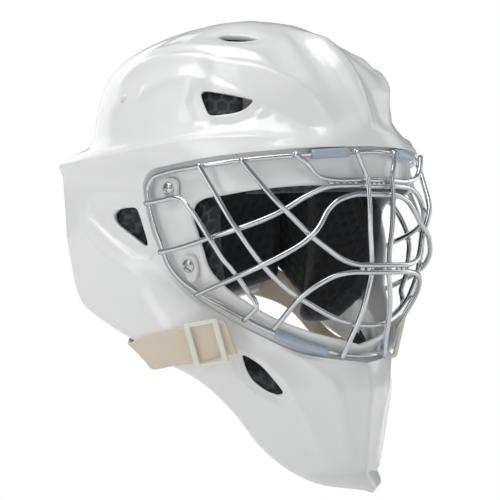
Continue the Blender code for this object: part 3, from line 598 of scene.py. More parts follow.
def fold(turn, height, line, rise, above, below, soft=0.8):
    """Crest along a line: rise * exp(-distance / reach), rounded at the top over `soft` mm."""
    distance, share = beside(turn, height, line)
    reach = below + (above - below) * (1 + np.tanh(distance / soft)) / 2
    taper = blend_weight(share, 0, 0.16) * (1 - blend_weight(share, 0.84, 1))
    return rise * taper * np.exp(-(np.sqrt(distance ** 2 + soft ** 2) - soft) / reach)


def inside_outline(turn, height, outline):
    """Signed distance to a closed outline, negative inside, by the crossing-number rule."""
    corners = np.array(outline, float) * (MM_PER_DEGREE, 1)
    a, b = corners, np.roll(corners, -1, axis=0)
    place, off, _ = off_segments(turn, height, a, b)
    away = np.linalg.norm(off, axis=-1).min(1)
    spans = (a[:, 1] > place[..., 1]) != (b[:, 1] > place[..., 1])
    step = b - a
    rise = np.where(step[:, 1] == 0, 1e-9, step[:, 1])
    crosses = spans & (place[..., 0] < a[:, 0] + (place[..., 1] - a[:, 1]) / rise * step[:, 0])
    inside = crosses.sum(1) % 2 == 1
    return np.where(inside, -away, away).reshape(turn.shape)


KEEL_RISE = 3.6             # raised strip over the forehead
KEEL_FLANK = 3.5            # width of its sloping side
LOBE_DEPTH = 3.2            # hollow beside the strip
LOBE_AWAY, LOBE_WIDTH = 17, 11
CHIN_KEEL = 2.4
CHIN_KEEL_REACH = 4.5


def relief(turn, height):
    """Height of the pressed folds over the plain head form, in mm, the same on both halves."""
    turn = np.abs(turn)
    rise = sum(fold(turn, height, *entry) for entry in FOLDS)
    for outline, depth, soft in HOLLOWS:
        distance = inside_outline(turn, height, outline)
        rise = rise - depth * (1 - blend_weight(distance, -soft, soft))
    # the keel over the forehead: a raised strip that narrows to a point above the port
    half_strip = 1.2 + 7.0 * blend_weight(height, 80, 140)
    across = turn * MM_PER_DEGREE
    strip = 1 - blend_weight(across, half_strip, half_strip + KEEL_FLANK)
    keel_fade = blend_weight(height, 78, 92) * (1 - blend_weight(height, 140, 154))
    rise = rise + KEEL_RISE * strip * keel_fade
    lobe = np.exp(-((across - half_strip - LOBE_AWAY) / LOBE_WIDTH) ** 2)
    rise = rise - LOBE_DEPTH * keel_fade * lobe
    # the sharp keel of the chin
    chin_fade = 1 - blend_weight(height, -82, -70)
    return rise + CHIN_KEEL * chin_fade * np.exp(-across / CHIN_KEEL_REACH)


# %% Shell surface
HALF_STATIONS = 200         # columns of the right half
RINGS = 140                 # rings from the step to the rear edge
FLANGE_RINGS = 10
FLANGE_REACH = 0.97         # share of the way from the port to the foot of the step
FLANGE_DISH = 1.1           # mm that the flange sinks in its middle
CLIMB = (0.25, 0.5, 0.75, 0.93)
CROWDED_RINGS = 1.12        # power above 1 crowds the rings near the step
RELIEF_START = 0.06         # share of the way over which the folds fade in
CENTRE = np.array([0.0, AXIS_Y, -55.0])
HEAD_TOP = SECTIONS[-1, 0]
STEP_REACH = 24.0


def cast_to_head(directions, centre):
    """Where rays from the centre meet the head form, by halving the interval."""
    near = np.ones(directions.shape[:-1])
    far = near * 330.0
    for _ in range(34):
        middle = (near + far) / 2
        point = centre + directions * middle[..., None]
        x = point[..., 0]
        y = point[..., 1] - AXIS_Y
        turn = np.arctan2(np.abs(x), -y)
        out = np.hypot(x, y) > head_radius(turn, point[..., 2])
        out = out | (point[..., 2] > HEAD_TOP)
        far = np.where(out, middle, far)
        near = np.where(out, near, middle)
    return centre + directions * near[..., None]


def half_ring(table, share):
    return (smooth(share, table[:, 0], table[:, 1]), smooth(share, table[:, 0], table[:, 2]))


def shell_surface():
    """Outer face of the right half, ring by ring from the port to the rear edge.

    The first rings lie on the flange, a set depth under the cage. The next ones climb the step.
    The rest follow great arcs from the step to the rear edge on the head form, where
    the rise of the step fades as exp(-(distance / reach)^2) and the folds are added.
    """
    share = np.linspace(0, 1, HALF_STATIONS + 1)
    port_turn, port_height = half_ring(PORT_EDGE, share)
    step_turn, step_height = half_ring(STEP_EDGE, share)
    rear_turn, rear_height = half_ring(REAR_EDGE, share)
    flange = 1 - FLANGE_DROP / LAYER_PITCH
    rings = []
    for way in np.linspace(0, FLANGE_REACH, FLANGE_RINGS):
        turn = port_turn + way * (step_turn - port_turn)
        height = port_height + way * (step_height - port_height)
        dish = FLANGE_DISH * np.sin(np.pi * way) ** 2 / LAYER_PITCH
        rings.append(on_cage(turn, height, flange - dish))
    foot = on_cage(step_turn, step_height, flange)
    rise = smooth(share, STEP_RISE[:, 0], STEP_RISE[:, 1])
    away = unit(foot - (0, AXIS_Y, 0) - foot * (0, 0, 1))
    crest = foot + away * rise[:, None]
    start = unit(crest - CENTRE)
    end = unit(on_head(rear_turn, rear_height) - CENTRE)
    start_on_head = cast_to_head(start, CENTRE)
    angle = np.arccos(np.clip((start * end).sum(-1), -1, 1))[:, None]
    lip = rings[-1]
    rings += [lip + (crest - lip) * way for way in CLIMB]
    over = []
    for way in np.linspace(0, 1, RINGS + 1) ** CROWDED_RINGS:
        heading = (np.sin((1 - way) * angle) * start + np.sin(way * angle) * end) / np.sin(angle)
        point = cast_to_head(heading, CENTRE)
        distance = np.linalg.norm(point - start_on_head, axis=-1, keepdims=True)
        over.append(point + (crest - start_on_head) * np.exp(-(distance / STEP_REACH) ** 2))
    over = np.array(over)
    turn = np.degrees(np.arctan2(-over[..., 0], AXIS_Y - over[..., 1]))
    rise = relief(turn, over[..., 2])
    rise = rise * blend_weight(np.linspace(0, 1, RINGS + 1), 0.0, RELIEF_START)[:, None]
    push = unit(over - CENTRE)
    over = over + push * rise[..., None]
    return np.concatenate([np.array(rings), over])


def grid_normals(grid):
    """Unit normals of a grid that is closed along its rows, from the cross of its two slopes."""
    down = np.gradient(grid, axis=0)
    along = np.roll(grid, -1, axis=1) - np.roll(grid, 1, axis=1)
    normal = unit(np.cross(down, along))
    return normal if ((grid - CENTRE) * normal).sum() > 0 else -normal


def relax(field, passes):
    """Each value of a closed grid moves to the mean of its four neighbours and itself."""
    for _ in range(passes):
        padded = np.concatenate([field[:1], field, field[-1:]])
        field = (field + padded[:-2] + padded[2:] + np.roll(field, 1, 1)
                 + np.roll(field, -1, 1)) / 5
    return field


right = shell_surface()
left = (right * (-1, 1, 1))[:, -2:0:-1]
outer = np.concatenate([right, left], axis=1)
wall_way = unit(relax(grid_normals(outer), 20))
inner = outer - wall_way * SHELL_WALL


def rounded_edge(end, before, way):
    """Half circle round an edge: centre + r (cos a * out + sin a * along), a from 0 to pi."""
    centre = end - way * SHELL_WALL / 2
    along = unit(end - before)
    along = unit(along - (along * way).sum(-1, keepdims=True) * way)
    a = np.linspace(0, np.pi, 7)[1:-1, None, None]
    return centre + SHELL_WALL / 2 * (np.cos(a) * way + np.sin(a) * along)


rear_round = rounded_edge(outer[-1], outer[-2], wall_way[-1])
port_round = rounded_edge(outer[0], outer[1], wall_way[0])[::-1]
inner = np.concatenate([inner[:1], inner[3:-2:3], inner[-1:]])
skin = np.concatenate([outer, rear_round, inner[::-1], port_round])
shell = solid_from_rings("shell_moulding", skin, closed=True)
print("shell grid:", skin.shape[:2])


# %% Vent openings
def softened(outline, passes=2):
    """Corner cutting: each edge gives the points at 1/5 and 4/5 of its length."""
    points = np.asarray(outline, float)
    for _ in range(passes):
        after = np.roll(points, -1, axis=0)
        points = np.stack([0.8 * points + 0.2 * after, 0.2 * points + 0.8 * after], 1)
        points = points.reshape(-1, points.shape[-1])
    return points


def straight_cutter(name, outline, direction, above, below):
    """Cutter whose outline is flattened across a direction and carried along it."""
    flat = outline - ((outline - outline.mean(0)) @ direction)[:, None] * direction
    return solid_from_rings(name, np.stack([flat + direction * above, flat - direction * below]))


VENT_CUT = (14, 20)         # how far a cutter reaches above and below the head form
cutters = []
for number, outline in enumerate(VENTS):
    spots = softened(outline)
    for side, word in SIDES:
        points = on_head(side * spots[:, 0], spots[:, 1])
        middle = spots.mean(0)
        normal = outward(on_head, side * middle[0], middle[1])
        cutters.append(straight_cutter("cutter_%d_%s" % (number, word), points, normal, *VENT_CUT))
cut_away(shell, cutters)
print("shell triangles after the vents:", sum(len(p.vertices) - 2 for p in shell.data.polygons))

# %% [markdown]
# ## Shell finish
# The shell is painted composite under clear lacquer. The lacquer gives a hard gloss, and
# under it the white is slightly uneven, because the resin is. A very shallow wave, a
# centimetre or two long, stands for the orange peel that sprayed lacquer has.

# %% Lacquered white composite
white_lacquer, shader = new_material("lacquered_white_composite", "#EFEFEE", 0.34,
                                     Coat_Weight=0.7, Coat_Roughness=0.06, IOR=1.5)
place, _ = clouded(white_lacquer, shader, "#ECECEC", "#F3F3F2", 14.0, 2.0)
peel = noise(white_lacquer, place, 60.0, 1.0)
dented(white_lacquer, shader, peel.outputs["Fac"], 0.05, 0.0006)
dress(shell, white_lacquer, ["shell"])

# %% [markdown]
# ## The cage
# The cage is stainless steel wire, 3.6 mm thick, bent and spot welded, then polished by
# tumbling. Each wire is drawn on the cage form by its turns, heights and layers: layer 0 is
# the rim's own, and a wire on layer 1 crosses over it. A round section is carried along the
# path, and a quarter circle of shrinking sections rounds its ends. At each crossing a small
# bead stands for the weld.

# %% Wire routes
RIM = [(0, 66.2, 0), (19, 64.5, 0), (34, 62.3, 0), (51.5, 59.2, 0), (68.7, 55.3, 0),
       (82.4, 51.7, 0), (88.9, 48.5, 0), (91.8, 42.5, 0), (91.4, 34.4, 0), (88.1, 15.5, 0),
       (84.8, 1.8, 0), (82.9, -7.6, 0), (79.5, -17, 0), (71.5, -27.5, 0), (60, -37.5, 0),
       (38, -55.3, 0), (29.5, -61.2, 0), (18, -67.3, 0), (9, -70.3, 0), (0, -71.2, 0)]
CROSS_WIRES = {
    "cage_brow_bar": [
        (32.6, 64.2, 1), (28.1, 56.2, 1), (24.3, 49, 0.5), (19.6, 47, 0), (8, 47, 0),
        (0, 47, 0)],
    "cage_lower_eye_bar": [
        (50.7, 60.4, 1), (44.9, 46.4, 1), (36.9, 27.8, 1), (32.7, 19.4, 0.5), (28.3, 11, 0),
        (22, 0.5, 0.5), (17.7, -6, 1), (13, -9.3, 1), (6.6, -10.1, 1), (0, -10.1, 1)],
    "cage_cheek_bar": [
        (66.2, 57.3, 1), (60.2, 39.8, 1), (51.6, 13.5, 1), (47, 0, 0.5), (43.1, -10, 0),
        (33.7, -27, 0), (24, -38.1, 0), (15.9, -45.4, 0), (6.6, -49.8, 0), (0, -50.6, 0)],
    "cage_upper_eye_bar": [
        (85, -1.6, 1), (74.6, 1.8, 0.5), (66.2, 6, 0), (58.3, 10.2, 0), (44.9, 18.6, 0),
        (37.4, 25.3, 0), (28, 36.4, 0), (20.8, 42, 0), (12.5, 43.1, 0), (0, 42.9, 0)],
    "cage_temple_bar": [
        (70.9, -30.7, 1), (52, -17.7, 1), (36.9, -3.3, 1), (31, 4.3, 1), (27.6, 10.2, 1),
        (24.9, 16.3, 0.5), (21.3, 26.6, 0), (18, 32.2, 0), (12.8, 36, 0), (0, 37.3, 0)],
    "cage_nose_bar": [
        (38.6, -53.3, 1), (35.3, -45.2, 1), (30.4, -32.1, 1), (25.4, -23.6, 1),
        (19.8, -17.2, 1), (14.9, -15.1, 1), (6.6, -14.8, 1), (0, -14.8, 1)],
}
SIDE_WIRES = {
    "cage_side_bar": [
        (91.1, 31.5, 1), (82.3, 33.4, 1), (76.1, 35, 1), (72.6, 33.2, 1), (69.2, 27.3, 1),
        (60.2, 4.3, 1), (57, -6, 0.5), (54, -13, 0), (51.8, -18.6, 0), (48.2, -28.8, 0),
        (45.8, -33.9, 0.5), (45.3, -38.1, 1), (47.4, -42.4, 1), (50.7, -47.2, 1)],
    "cage_center_bar": [
        (9.4, 66.6, 1), (8.1, 58.6, 1), (6.1, 49.3, 1), (5.8, 38, 1), (5.3, 14.5, 0.5),
        (4.3, -4.2, 0), (4.2, -14.5, 0), (5.5, -27.6, 0.5), (7.2, -44.5, 1),
        (9.1, -58.9, 1), (11.6, -72.9, 1)],
}


def wire_path(table, spacing, side=1):
    """Round curve through a wire's turns, heights and layers, laid on the cage form."""
    knots = np.array(table, float) * (MM_PER_DEGREE, 1, LAYER_PITCH)
    length = np.linalg.norm(np.diff(knots, axis=0), axis=1).sum()
    dense = spline(knots, int(length / spacing) + 2)
    turn, height, layer = (dense / (MM_PER_DEGREE, 1, LAYER_PITCH)).T
    return on_cage(side * turn, height, layer)


def mirrored(table):
    """A wire given from its right end to the middle, carried on to its left end."""
    return list(table) + [(-turn, height, layer) for turn, height, layer in table[-2::-1]]


def sections_along(path, radius, sides, closed=False):
    """Circles across a path: centre + r (cos a * out + sin a * cross(along, out))."""
    if closed:
        along = unit(np.roll(path, -1, 0) - np.roll(path, 1, 0))
    else:
        along = unit(np.gradient(path, axis=0))
    out = path - (0, AXIS_Y, 0) - path * (0, 0, 1)
    out = unit(out - (out * along).sum(-1, keepdims=True) * along)
    across = np.cross(along, out)
    a = np.linspace(0, 2 * np.pi, sides, endpoint=False)[None, :, None]
    radius = np.broadcast_to(radius, len(path))[:, None, None]
    return path[:, None] + radius * (np.cos(a) * out[:, None] + np.sin(a) * across[:, None])


def round_wire(name, path, radius, sides=14, closed=False):
    """A wire with rounded ends: the end sections shrink as a quarter circle."""
    if closed:
        return solid_from_rings(name, sections_along(path, radius, sides, True), closed=True)
    a = np.radians([4, 25, 50, 75])
    first = path[0] + unit(path[1] - path[0]) * radius * (1 - np.sin(a))[:, None]
    last = path[-1] + unit(path[-2] - path[-1]) * radius * (1 - np.sin(a))[::-1, None]
    inner_part = path[(np.linalg.norm(path - path[0], axis=1) > radius * 1.05)
                      & (np.linalg.norm(path - path[-1], axis=1) > radius * 1.05)]
    whole = np.concatenate([first, inner_part, last])
    size = np.concatenate([radius * np.cos(np.pi / 2 - a), np.full(len(inner_part), radius),
                           radius * np.cos(np.pi / 2 - a)[::-1]])
    return solid_from_rings(name, sections_along(whole, size, sides))


# %% [markdown]
# ## Bright steel
# Tumbled stainless steel is close to a mirror, but drawing the wire leaves fine lines along it
# and tumbling leaves a faint haze. So the roughness is low and wanders a little, and the
# colour is a neutral grey that lets the room show.

# %% Tumbled stainless wire
bright_steel, shader = new_material("tumbled_stainless_wire", "#D4D6D8", 0.16, 1.0)
place = add_node(bright_steel, "ShaderNodeTexCoord")
haze = noise(bright_steel, place, 220.0, 3.0)
rough = add_node(bright_steel, "ShaderNodeMapRange", {"To Min": 0.10, "To Max": 0.24},
                 {"Value": haze.outputs["Fac"]})
bright_steel.node_tree.links.new(rough.outputs["Result"], shader.inputs["Roughness"])
dented(bright_steel, shader, haze.outputs["Fac"], 0.08, 0.0002)

# %% Bend the wires
paths = {"cage_rim": wire_path(mirrored(RIM), 2.2)[:-1]}
for name, table in CROSS_WIRES.items():
    paths[name] = wire_path(mirrored(table), 2.2)
for name, table in SIDE_WIRES.items():
    for side, word in SIDES:
        paths[name + "_" + word] = wire_path(table, 2.2, side)
for name, path in paths.items():
    wire = round_wire(name + "_wire", path, WIRE_RADIUS, closed=name == "cage_rim")
    dress(wire, bright_steel, [name])
print("cage wires:", len(paths))

# %% Weld beads at the crossings
WELD_REACH = 4.9            # wires whose middles are nearer than this are welded
WELD_SPACING = 4            # least distance between two beads
BEAD_RADIUS = 1.7
beads = []
names = sorted(paths)
for i, first in enumerate(names):
    for second in names[i + 1:]:
        a, b = paths[first], paths[second]
        gap = np.linalg.norm(a[:, None] - b[None], axis=-1)
        close = (gap < WELD_REACH) & (gap == np.minimum.reduce([
            np.roll(gap, s, axis) for s in (-2, -1, 0, 1, 2) for axis in (0, 1)]))
        for p, q in zip(*np.nonzero(close)):
            beads.append((a[p], b[q]))
kept = []
for a, b in beads:
    if all(np.linalg.norm((a + b) / 2 - (c + d) / 2) > WELD_SPACING for c, d in kept):
        kept.append((a, b))


def weld_bead(centre, way, size):
    """A small spindle between two wires: radius size * sin(a), height 1.25 size * cos(a)."""
    a = np.radians([8, 35, 62, 90, 118, 145, 172])
    spin = np.linspace(0, 2 * np.pi, 10, endpoint=False)
    level = unit(np.cross(way, (0.2, 0.3, 0.93)))
    other = np.cross(way, level)
    ring = np.cos(spin)[:, None] * level + np.sin(spin)[:, None] * other
    return centre + size * (np.sin(a)[:, None, None] * ring
                            + 1.25 * np.cos(a)[:, None, None] * way)


weld_beads = [solid_from_rings("weld_beads", weld_bead((a + b) / 2, unit(a - b), BEAD_RADIUS))
              for a, b in kept]
with bpy.context.temp_override(active_object=weld_beads[0],
                               selected_editable_objects=weld_beads):
    bpy.ops.object.join()
dress(weld_beads[0], bright_steel)
print("weld beads:", len(kept))

# %% [markdown]
# ## Sleeves, clips and screws
# Soft vinyl sleeves keep the rim from rubbing on the shell. They are pushed over the wire, so
# each is a tube with rounded lips. The clips are moulded nylon. Only the pad that the screw
# goes through is made here, and not the hook that would hold the rim. A pan head is a turned
# profile with a slot and a cross cut in it.

# %% Finishes of the small fittings
vinyl, shader = new_material("blue_grey_vinyl", "#A9B9C9", 0.28, IOR=1.53,
                             Transmission_Weight=0.12, Coat_Weight=0.3, Coat_Roughness=0.1)
clouded(vinyl, shader, "#A3B5C6", "#BAC7D3", 90.0, 2.0)


def moulded(name, dark, light, roughness, grain=900.0):
    """Moulded plastic: a fine spark-eroded grain and a faint unevenness of tone."""
    material, shader = new_material(name, light, roughness, IOR=1.5)
    place, _ = clouded(material, shader, dark, light, 60.0, 3.0)
    texture = noise(material, place, grain, 1.0)
    dented(material, shader, texture.outputs["Fac"], 0.12, 0.0002)
    return material


white_nylon = moulded("white_nylon", "#DADADA", "#EAEAEA", 0.38)
cream_acetal = moulded("cream_acetal", "#E4E2D0", "#F0EFE4", 0.34)
plated_steel = moulded("nickel_plated_steel", "#C4C4C4", "#D8D8D8", 0.22, 500.0)
plated_steel.node_tree.nodes["Principled BSDF"].inputs["Metallic"].default_value = 1.0

# %% Sleeves
for place_word, low, high in (("upper", 22.5, 51), ("lower", 28, 57)):
    for side, word in SIDES:
        dense = wire_path(RIM, 0.5, side)
        reach = np.abs(dense[:, 0])
        keep = (reach > low) & (reach < high) & ((dense[:, 2] > 0) == (place_word == "upper"))
        path = spline(dense[keep][::4], 44)
        lip = np.minimum(np.arange(44), np.arange(44)[::-1])
        thick = np.where(lip < 3, np.array([2.75, 3.15, 3.3])[np.minimum(lip, 2)], 3.35)
        tube = np.concatenate([sections_along(path, thick, 20),
                               sections_along(path, WIRE_RADIUS + 0.25, 20)[::-1]])
        name = "rim_sleeve_%s_%s" % (place_word, word)
        dress(solid_from_rings(name + "_vinyl", tube, closed=True), vinyl,
              [name])


# %% Turned parts and plates
def turned(name, profile, centre, normal, sides=36):
    """Turned piece: (radius, height) pairs spun about a normal, closed at both ends."""
    spin = np.linspace(0, 2 * np.pi, sides, endpoint=False)
    level = unit(np.cross(normal, (0.3, 0.2, 0.93)))
    other = np.cross(normal, level)
    ring = np.cos(spin)[:, None] * level + np.sin(spin)[:, None] * other
    profile = np.asarray(profile, float)
    return solid_from_rings(name, centre + profile[:, :1, None] * ring
                            + profile[:, 1:, None] * normal)


def slab(name, outline, centre, level, upward, normal, low, high, round_over):
    """A plate with a rounded top: the outline shrinks as a quarter circle near its top."""
    flat = np.asarray(outline, float)
    middle = flat.mean(0)
    size = np.abs(flat - middle).max()
    a = np.radians([0, 22, 45, 68, 88])
    shrink = np.concatenate([[1, 1], 1 - round_over / size * (1 - np.cos(a)), [0.35]])
    rise = np.concatenate([[low, low + 0.2], high - round_over * (1 - np.sin(a)), [high]])
    plan = middle + shrink[:, None, None] * (flat - middle)
    return solid_from_rings(name, centre + plan[..., :1] * level + plan[..., 1:] * upward
                            + rise[:, None, None] * normal)


def bar_cutter(name, centre, level, upward, normal, half_a, half_b, low, high):
    """A straight-sided cutter, half_a by half_b, between two heights over a place."""
    corners = np.array([(-half_a, -half_b), (half_a, -half_b), (half_a, half_b),
                        (-half_a, half_b)])
    flat = centre + corners[:, :1] * level + corners[:, 1:] * upward
    return solid_from_rings(name, np.stack([flat + normal * high, flat + normal * low]))


# %% Clips and their screws
def flange_seat(turn, height):
    return on_cage(turn, height, 1 - FLANGE_DROP / LAYER_PITCH)


CLIPS = {
    "upper": ((81, 41), [(-7, -7.5), (6.5, -7.5), (7.5, -5), (7.5, 4), (5, 7.5), (-7, 7.5)]),
    "lower": ((72.5, -10), [(-3, -12), (3, -11), (7, -3), (6.5, 5), (3, 7.5), (-5, 7.5),
                            (-6.5, 2)]),
}
for place_word, ((turn, height), outline) in CLIPS.items():
    for side, word in SIDES:
        centre, normal, level, upward = frame_on(flange_seat, side * turn, height)
        plan = softened(np.array(outline, float) * (side, 1), 3)
        tail = place_word + "_" + word
        clip = slab("cage_clip_%s_nylon" % tail, plan, centre, level, upward, normal, 0.6, 3.0, 0.9)
        dress(clip, white_nylon, ["cage_clip_" + tail])
        head = turned("clip_screw_%s_head" % tail,
                      [(0.2, 5.9), (1.6, 5.8), (3.0, 5.4), (4.0, 4.8), (4.6, 4.1), (4.8, 3.4),
                       (4.75, 3.15), (2.1, 3.1), (2.1, -5.2), (0.2, -5.2)], centre, normal)
        lean = np.radians(20 if place_word == "upper" else -50) * side
        cross_a = np.cos(lean) * level + np.sin(lean) * upward
        cross_b = np.cos(lean) * upward - np.sin(lean) * level
        cut_away(head, [bar_cutter("slot_a", centre, cross_a, cross_b, normal, 6, 0.6, 4.3, 7),
                        bar_cutter("slot_b", centre, cross_a, cross_b, normal, 0.6, 2.6, 4.3, 7)])
        head.data.set_sharp_from_angle(angle=np.radians(35))
        dress(head, plated_steel, ["clip_screw_" + tail])
        nut = turned("clip_nut_%s_fine" % tail,
                     [(2.3, -5.4), (5.8, -5.4), (6.0, -5.7), (6.0, -7.0), (5.6, -7.3), (3.0, -7.3),
                      (2.6, -6.9)], centre, normal)
        dress(nut, plated_steel, ["clip_nut_" + tail])

# %% Rivets
RIVETS = {"side_rivet_right": (114, 104), "side_rivet_left": (-114, 104),
          "crown_rivet_right": (176, 118), "crown_rivet_left": (-176, 118)}
for name, (turn, height) in RIVETS.items():
    centre = on_head(turn, height)
    normal = outward(on_head, turn, height)
    rise = float(relief(np.array([turn]), np.array([height]))[0])
    rivet = turned(name + "_dome", [(0.2, 1.9), (1.2, 1.75), (2.3, 1.3), (3.1, 0.7), (3.4, 0.15),
                                    (3.4, -0.3), (1.8, -0.4), (1.8, -4.0), (0.2, -4.0)],
                   centre + normal * rise, normal)
    dress(rivet, white_nylon, [name])

# %% [markdown]
# ## The liner
# The liner is soft closed-cell foam under a black knit. Each pad is a cushion: two sheets that meet
# at the border, and the thickness between them grows from nothing as a quarter circle, so the
# borders roll over. The face that touches the head is quilted in six-sided cells, and the
# groove between two cells is narrow and soft.

# %% Cushions
def sheet_normals(grid, away):
    """Unit normals of an open grid, pointing away from a place."""
    normal = unit(np.cross(np.gradient(grid, axis=0), np.gradient(grid, axis=1)))
    return normal if ((grid - away) * normal).sum() > 0 else -normal


def cell_grooves(a, b, cell):
    """Groove depth, 1 on the border of a six-sided cell: exp(-(distance / 0.8)^2).

    The nearest cell centre is the closer of two interleaved lattices of cell by cell * sqrt 3.
    """
    step = np.array([cell, cell * np.sqrt(3)])
    place = np.stack([a, b], -1)
    first = np.mod(place, step) - step / 2
    second = np.mod(place + step / 2, step) - step / 2
    nearer = (first ** 2).sum(-1) < (second ** 2).sum(-1)
    off = np.abs(np.where(nearer[..., None], first, second))
    border = cell / 2 - np.maximum(off[..., 0], off[..., 0] / 2 + off[..., 1] * np.sqrt(3) / 2)
    return np.exp(-(border / 0.8) ** 2)


CROWDING = 0.715             # 0 is even spacing, 1 would stop at the ends


def eased(count):
    """Shares x - k sin(2 pi x) / (2 pi), which lie closer together near both ends."""
    way = np.linspace(0, 1, count)
    return way - CROWDING * np.sin(2 * np.pi * way) / (2 * np.pi)


def cushion(name, grid, away, thickness, edge, cell=0.0, groove=0.0, bulge=0.0):
    """Closed body under an outer sheet.

    The quilting is a groove on the inner face and a raised net of ribs on the outer one.
    Half thickness = T/2 * c(s) * c(t) with c(x) = sqrt(1 - (1 - x)^2), where s and t are the
    distances from the borders over `edge`, cut at 1. Bulge swells the inner face as
    sin(pi u) sin(pi v). The first map coordinate tells how near a cell's border a place is,
    and the knit paints a highlight there.
    """
    normal = sheet_normals(grid, away)
    rows, columns = grid.shape[:2]
    across = np.cumsum(np.linalg.norm(np.diff(grid, axis=1, prepend=grid[:, :1]), axis=-1), 1)
    down = np.cumsum(np.linalg.norm(np.diff(grid, axis=0, prepend=grid[:1]), axis=-1), 0)
    share_a = np.minimum(np.minimum(across, across[:, -1:] - across) / edge, 1)
    share_b = np.minimum(np.minimum(down, down[-1:] - down) / edge, 1)
    full = np.sqrt(1 - (1 - share_a) ** 2) * np.sqrt(1 - (1 - share_b) ** 2)
    middle = grid - normal * thickness / 2
    lines = full * cell_grooves(across, down, cell) if cell else 0 * full
    depth = thickness / 2 * full - groove * lines
    lift = thickness / 2 * full + 0.7 * groove * lines
    outer_face = middle + normal * lift[..., None]
    depth = depth + bulge * full * np.sin(np.pi * across / across[:, -1:]) * np.sin(
        np.pi * down / down[-1:])
    inner_face = middle - normal * depth[..., None]
    number = np.arange(rows * columns).reshape(rows, columns)
    below = number + rows * columns
    below[[0, -1], :] = number[[0, -1], :]
    below[:, [0, -1]] = number[:, [0, -1]]
    quads = grid_faces(rows, columns, False)
    under = below.ravel()[quads][:, ::-1]
    used, new = np.unique(np.concatenate([quads, under]), return_inverse=True)
    points = np.concatenate([outer_face.reshape(-1, 3), inner_face.reshape(-1, 3)])[used]
    uv = np.stack([np.concatenate([lines.ravel(), 0.3 * lines.ravel()]),
                   np.tile(down.ravel() * MM, 2)], -1)[used]
    return finish_mesh(name, points, new.reshape(-1, 4), np.zeros((0, 3), int), uv)


def liner_grid(side, lower, upper, inset, step):
    """Grid on the liner surface between a lower and an upper edge of turns and heights."""
    lower, upper = np.array(lower, float), np.array(upper, float)
    columns = int((lower[-1, 0] - lower[0, 0]) * 1.7 / step)
    rows = int((upper[:, 1] - lower[:, 1]).max() / step)
    turn = lower[0, 0] + eased(columns) * (lower[-1, 0] - lower[0, 0])
    low = smooth(turn, lower[:, 0], lower[:, 1])
    high = smooth(turn, upper[:, 0], upper[:, 1])
    height = low + eased(rows)[:, None] * (high - low)
    turn = side * turn + 0 * height
    return at(turn, height, liner_radius(np.radians(turn), height) - inset)


# %% Foam finishes
def knit(name, dark, light, scale):
    """Napped cloth over foam: two crossed waves for the knit, a fine fuzz, and a painted highlight
    that lightens the colour along the cell borders.
    """
    material, shader = new_material(name, light, 0.62, Sheen_Weight=0.12, Sheen_Roughness=0.6)
    place, tone = clouded(material, shader, dark, light, 40.0, 3.0)
    borders = add_node(material, "ShaderNodeSeparateXYZ", links={"Vector": place.outputs["UV"]})
    # Painted highlight: the colour is mixed towards a lighter grey along the cell borders,
    # strongest on the raised ribs of the outer face.
    painted_ridge_highlight = add_node(material, "ShaderNodeMix", {"data_type": "RGBA", 7: linear("#4C4F55")},
                    {"Factor": borders.outputs["X"], 6: tone.outputs[2]})
    material.node_tree.links.new(painted_ridge_highlight.outputs[2], shader.inputs["Base Color"])
    waves = [add_node(material, "ShaderNodeTexWave",
                      {"bands_direction": way, "Scale": scale, "Distortion": 0.4},
                      {"Vector": place.outputs["Object"]}) for way in ("X", "Z")]
    both = add_node(material, "ShaderNodeMath", {"operation": "MULTIPLY"},
                    {0: waves[0].outputs["Fac"], 1: waves[1].outputs["Fac"]})
    dented(material, shader, both.outputs[0], 0.25, 0.0003)
    return material


black_knit = knit("black_knit_foam", "#0C0D10", "#1D2024", 260.0)
grey_towel = knit("dark_sweatband", "#1A1C20", "#26292E", 200.0)

# %% Pads
pad_list = [
    ("forehead_pad", "", 1, [(-50, 38), (0, 40), (50, 38)], [(-50, 90), (0, 96), (50, 90)],
     11, 1.0),
    ("sweatband", "", 1, [(-44, 44), (44, 44)], [(-44, 72), (44, 72)], 3, 14.5),
]
for side, word in SIDES:
    pad_list += [
        ("temple_pad_", word, side, [(63, -34), (78, -50), (95, -52), (110, -38), (126, -10)],
         [(63, 30), (78, 49), (95, 50), (110, 50), (126, 50)], 12, 4.5),
        ("upper_side_pad_", word, side, [(52, 59), (121, 59)], [(52, 108), (121, 108)], 11, 3.5),
        ("jaw_pad_", word, side, [(22, -122), (38, -112), (55, -94)],
         [(22, -74), (38, -65), (55, -58)], 10, 1.5),
    ]
for stem, word, side, lower, upper, thickness, inset in pad_list:
    thin = thickness < 5
    grid = liner_grid(side, lower, upper, inset, 1.25)
    piece = cushion(stem + word + "_cushion", grid, CENTRE, thickness, 1.5 if thin else 5.0,
                    0.0 if thin else 9.0, 0.9)
    dress(piece, grey_towel if thin else black_knit, [stem + word])
print("liner pads:", len(pad_list))


def back_grid(reach, lower_middle, lower_side, upper, columns, rows, out=0.0):
    """Grid over the rear plate's form, whose lower edge rises towards the sides."""
    turn = -reach + 2 * reach * eased(columns)[None, :]
    low = lower_middle + (lower_side - lower_middle) * (turn / reach) ** 2
    height = low + eased(rows)[:, None] * (upper - low)
    return back_point(turn + 0 * height, height, out)


back_pad = cushion("back_pad_cushion", back_grid(72, -44, -20, 80, 90, 68, -5.5), CENTRE, 11, 5,
                   9.0, 0.9)
dress(back_pad, black_knit, ["back_pad"], "backplate_body")

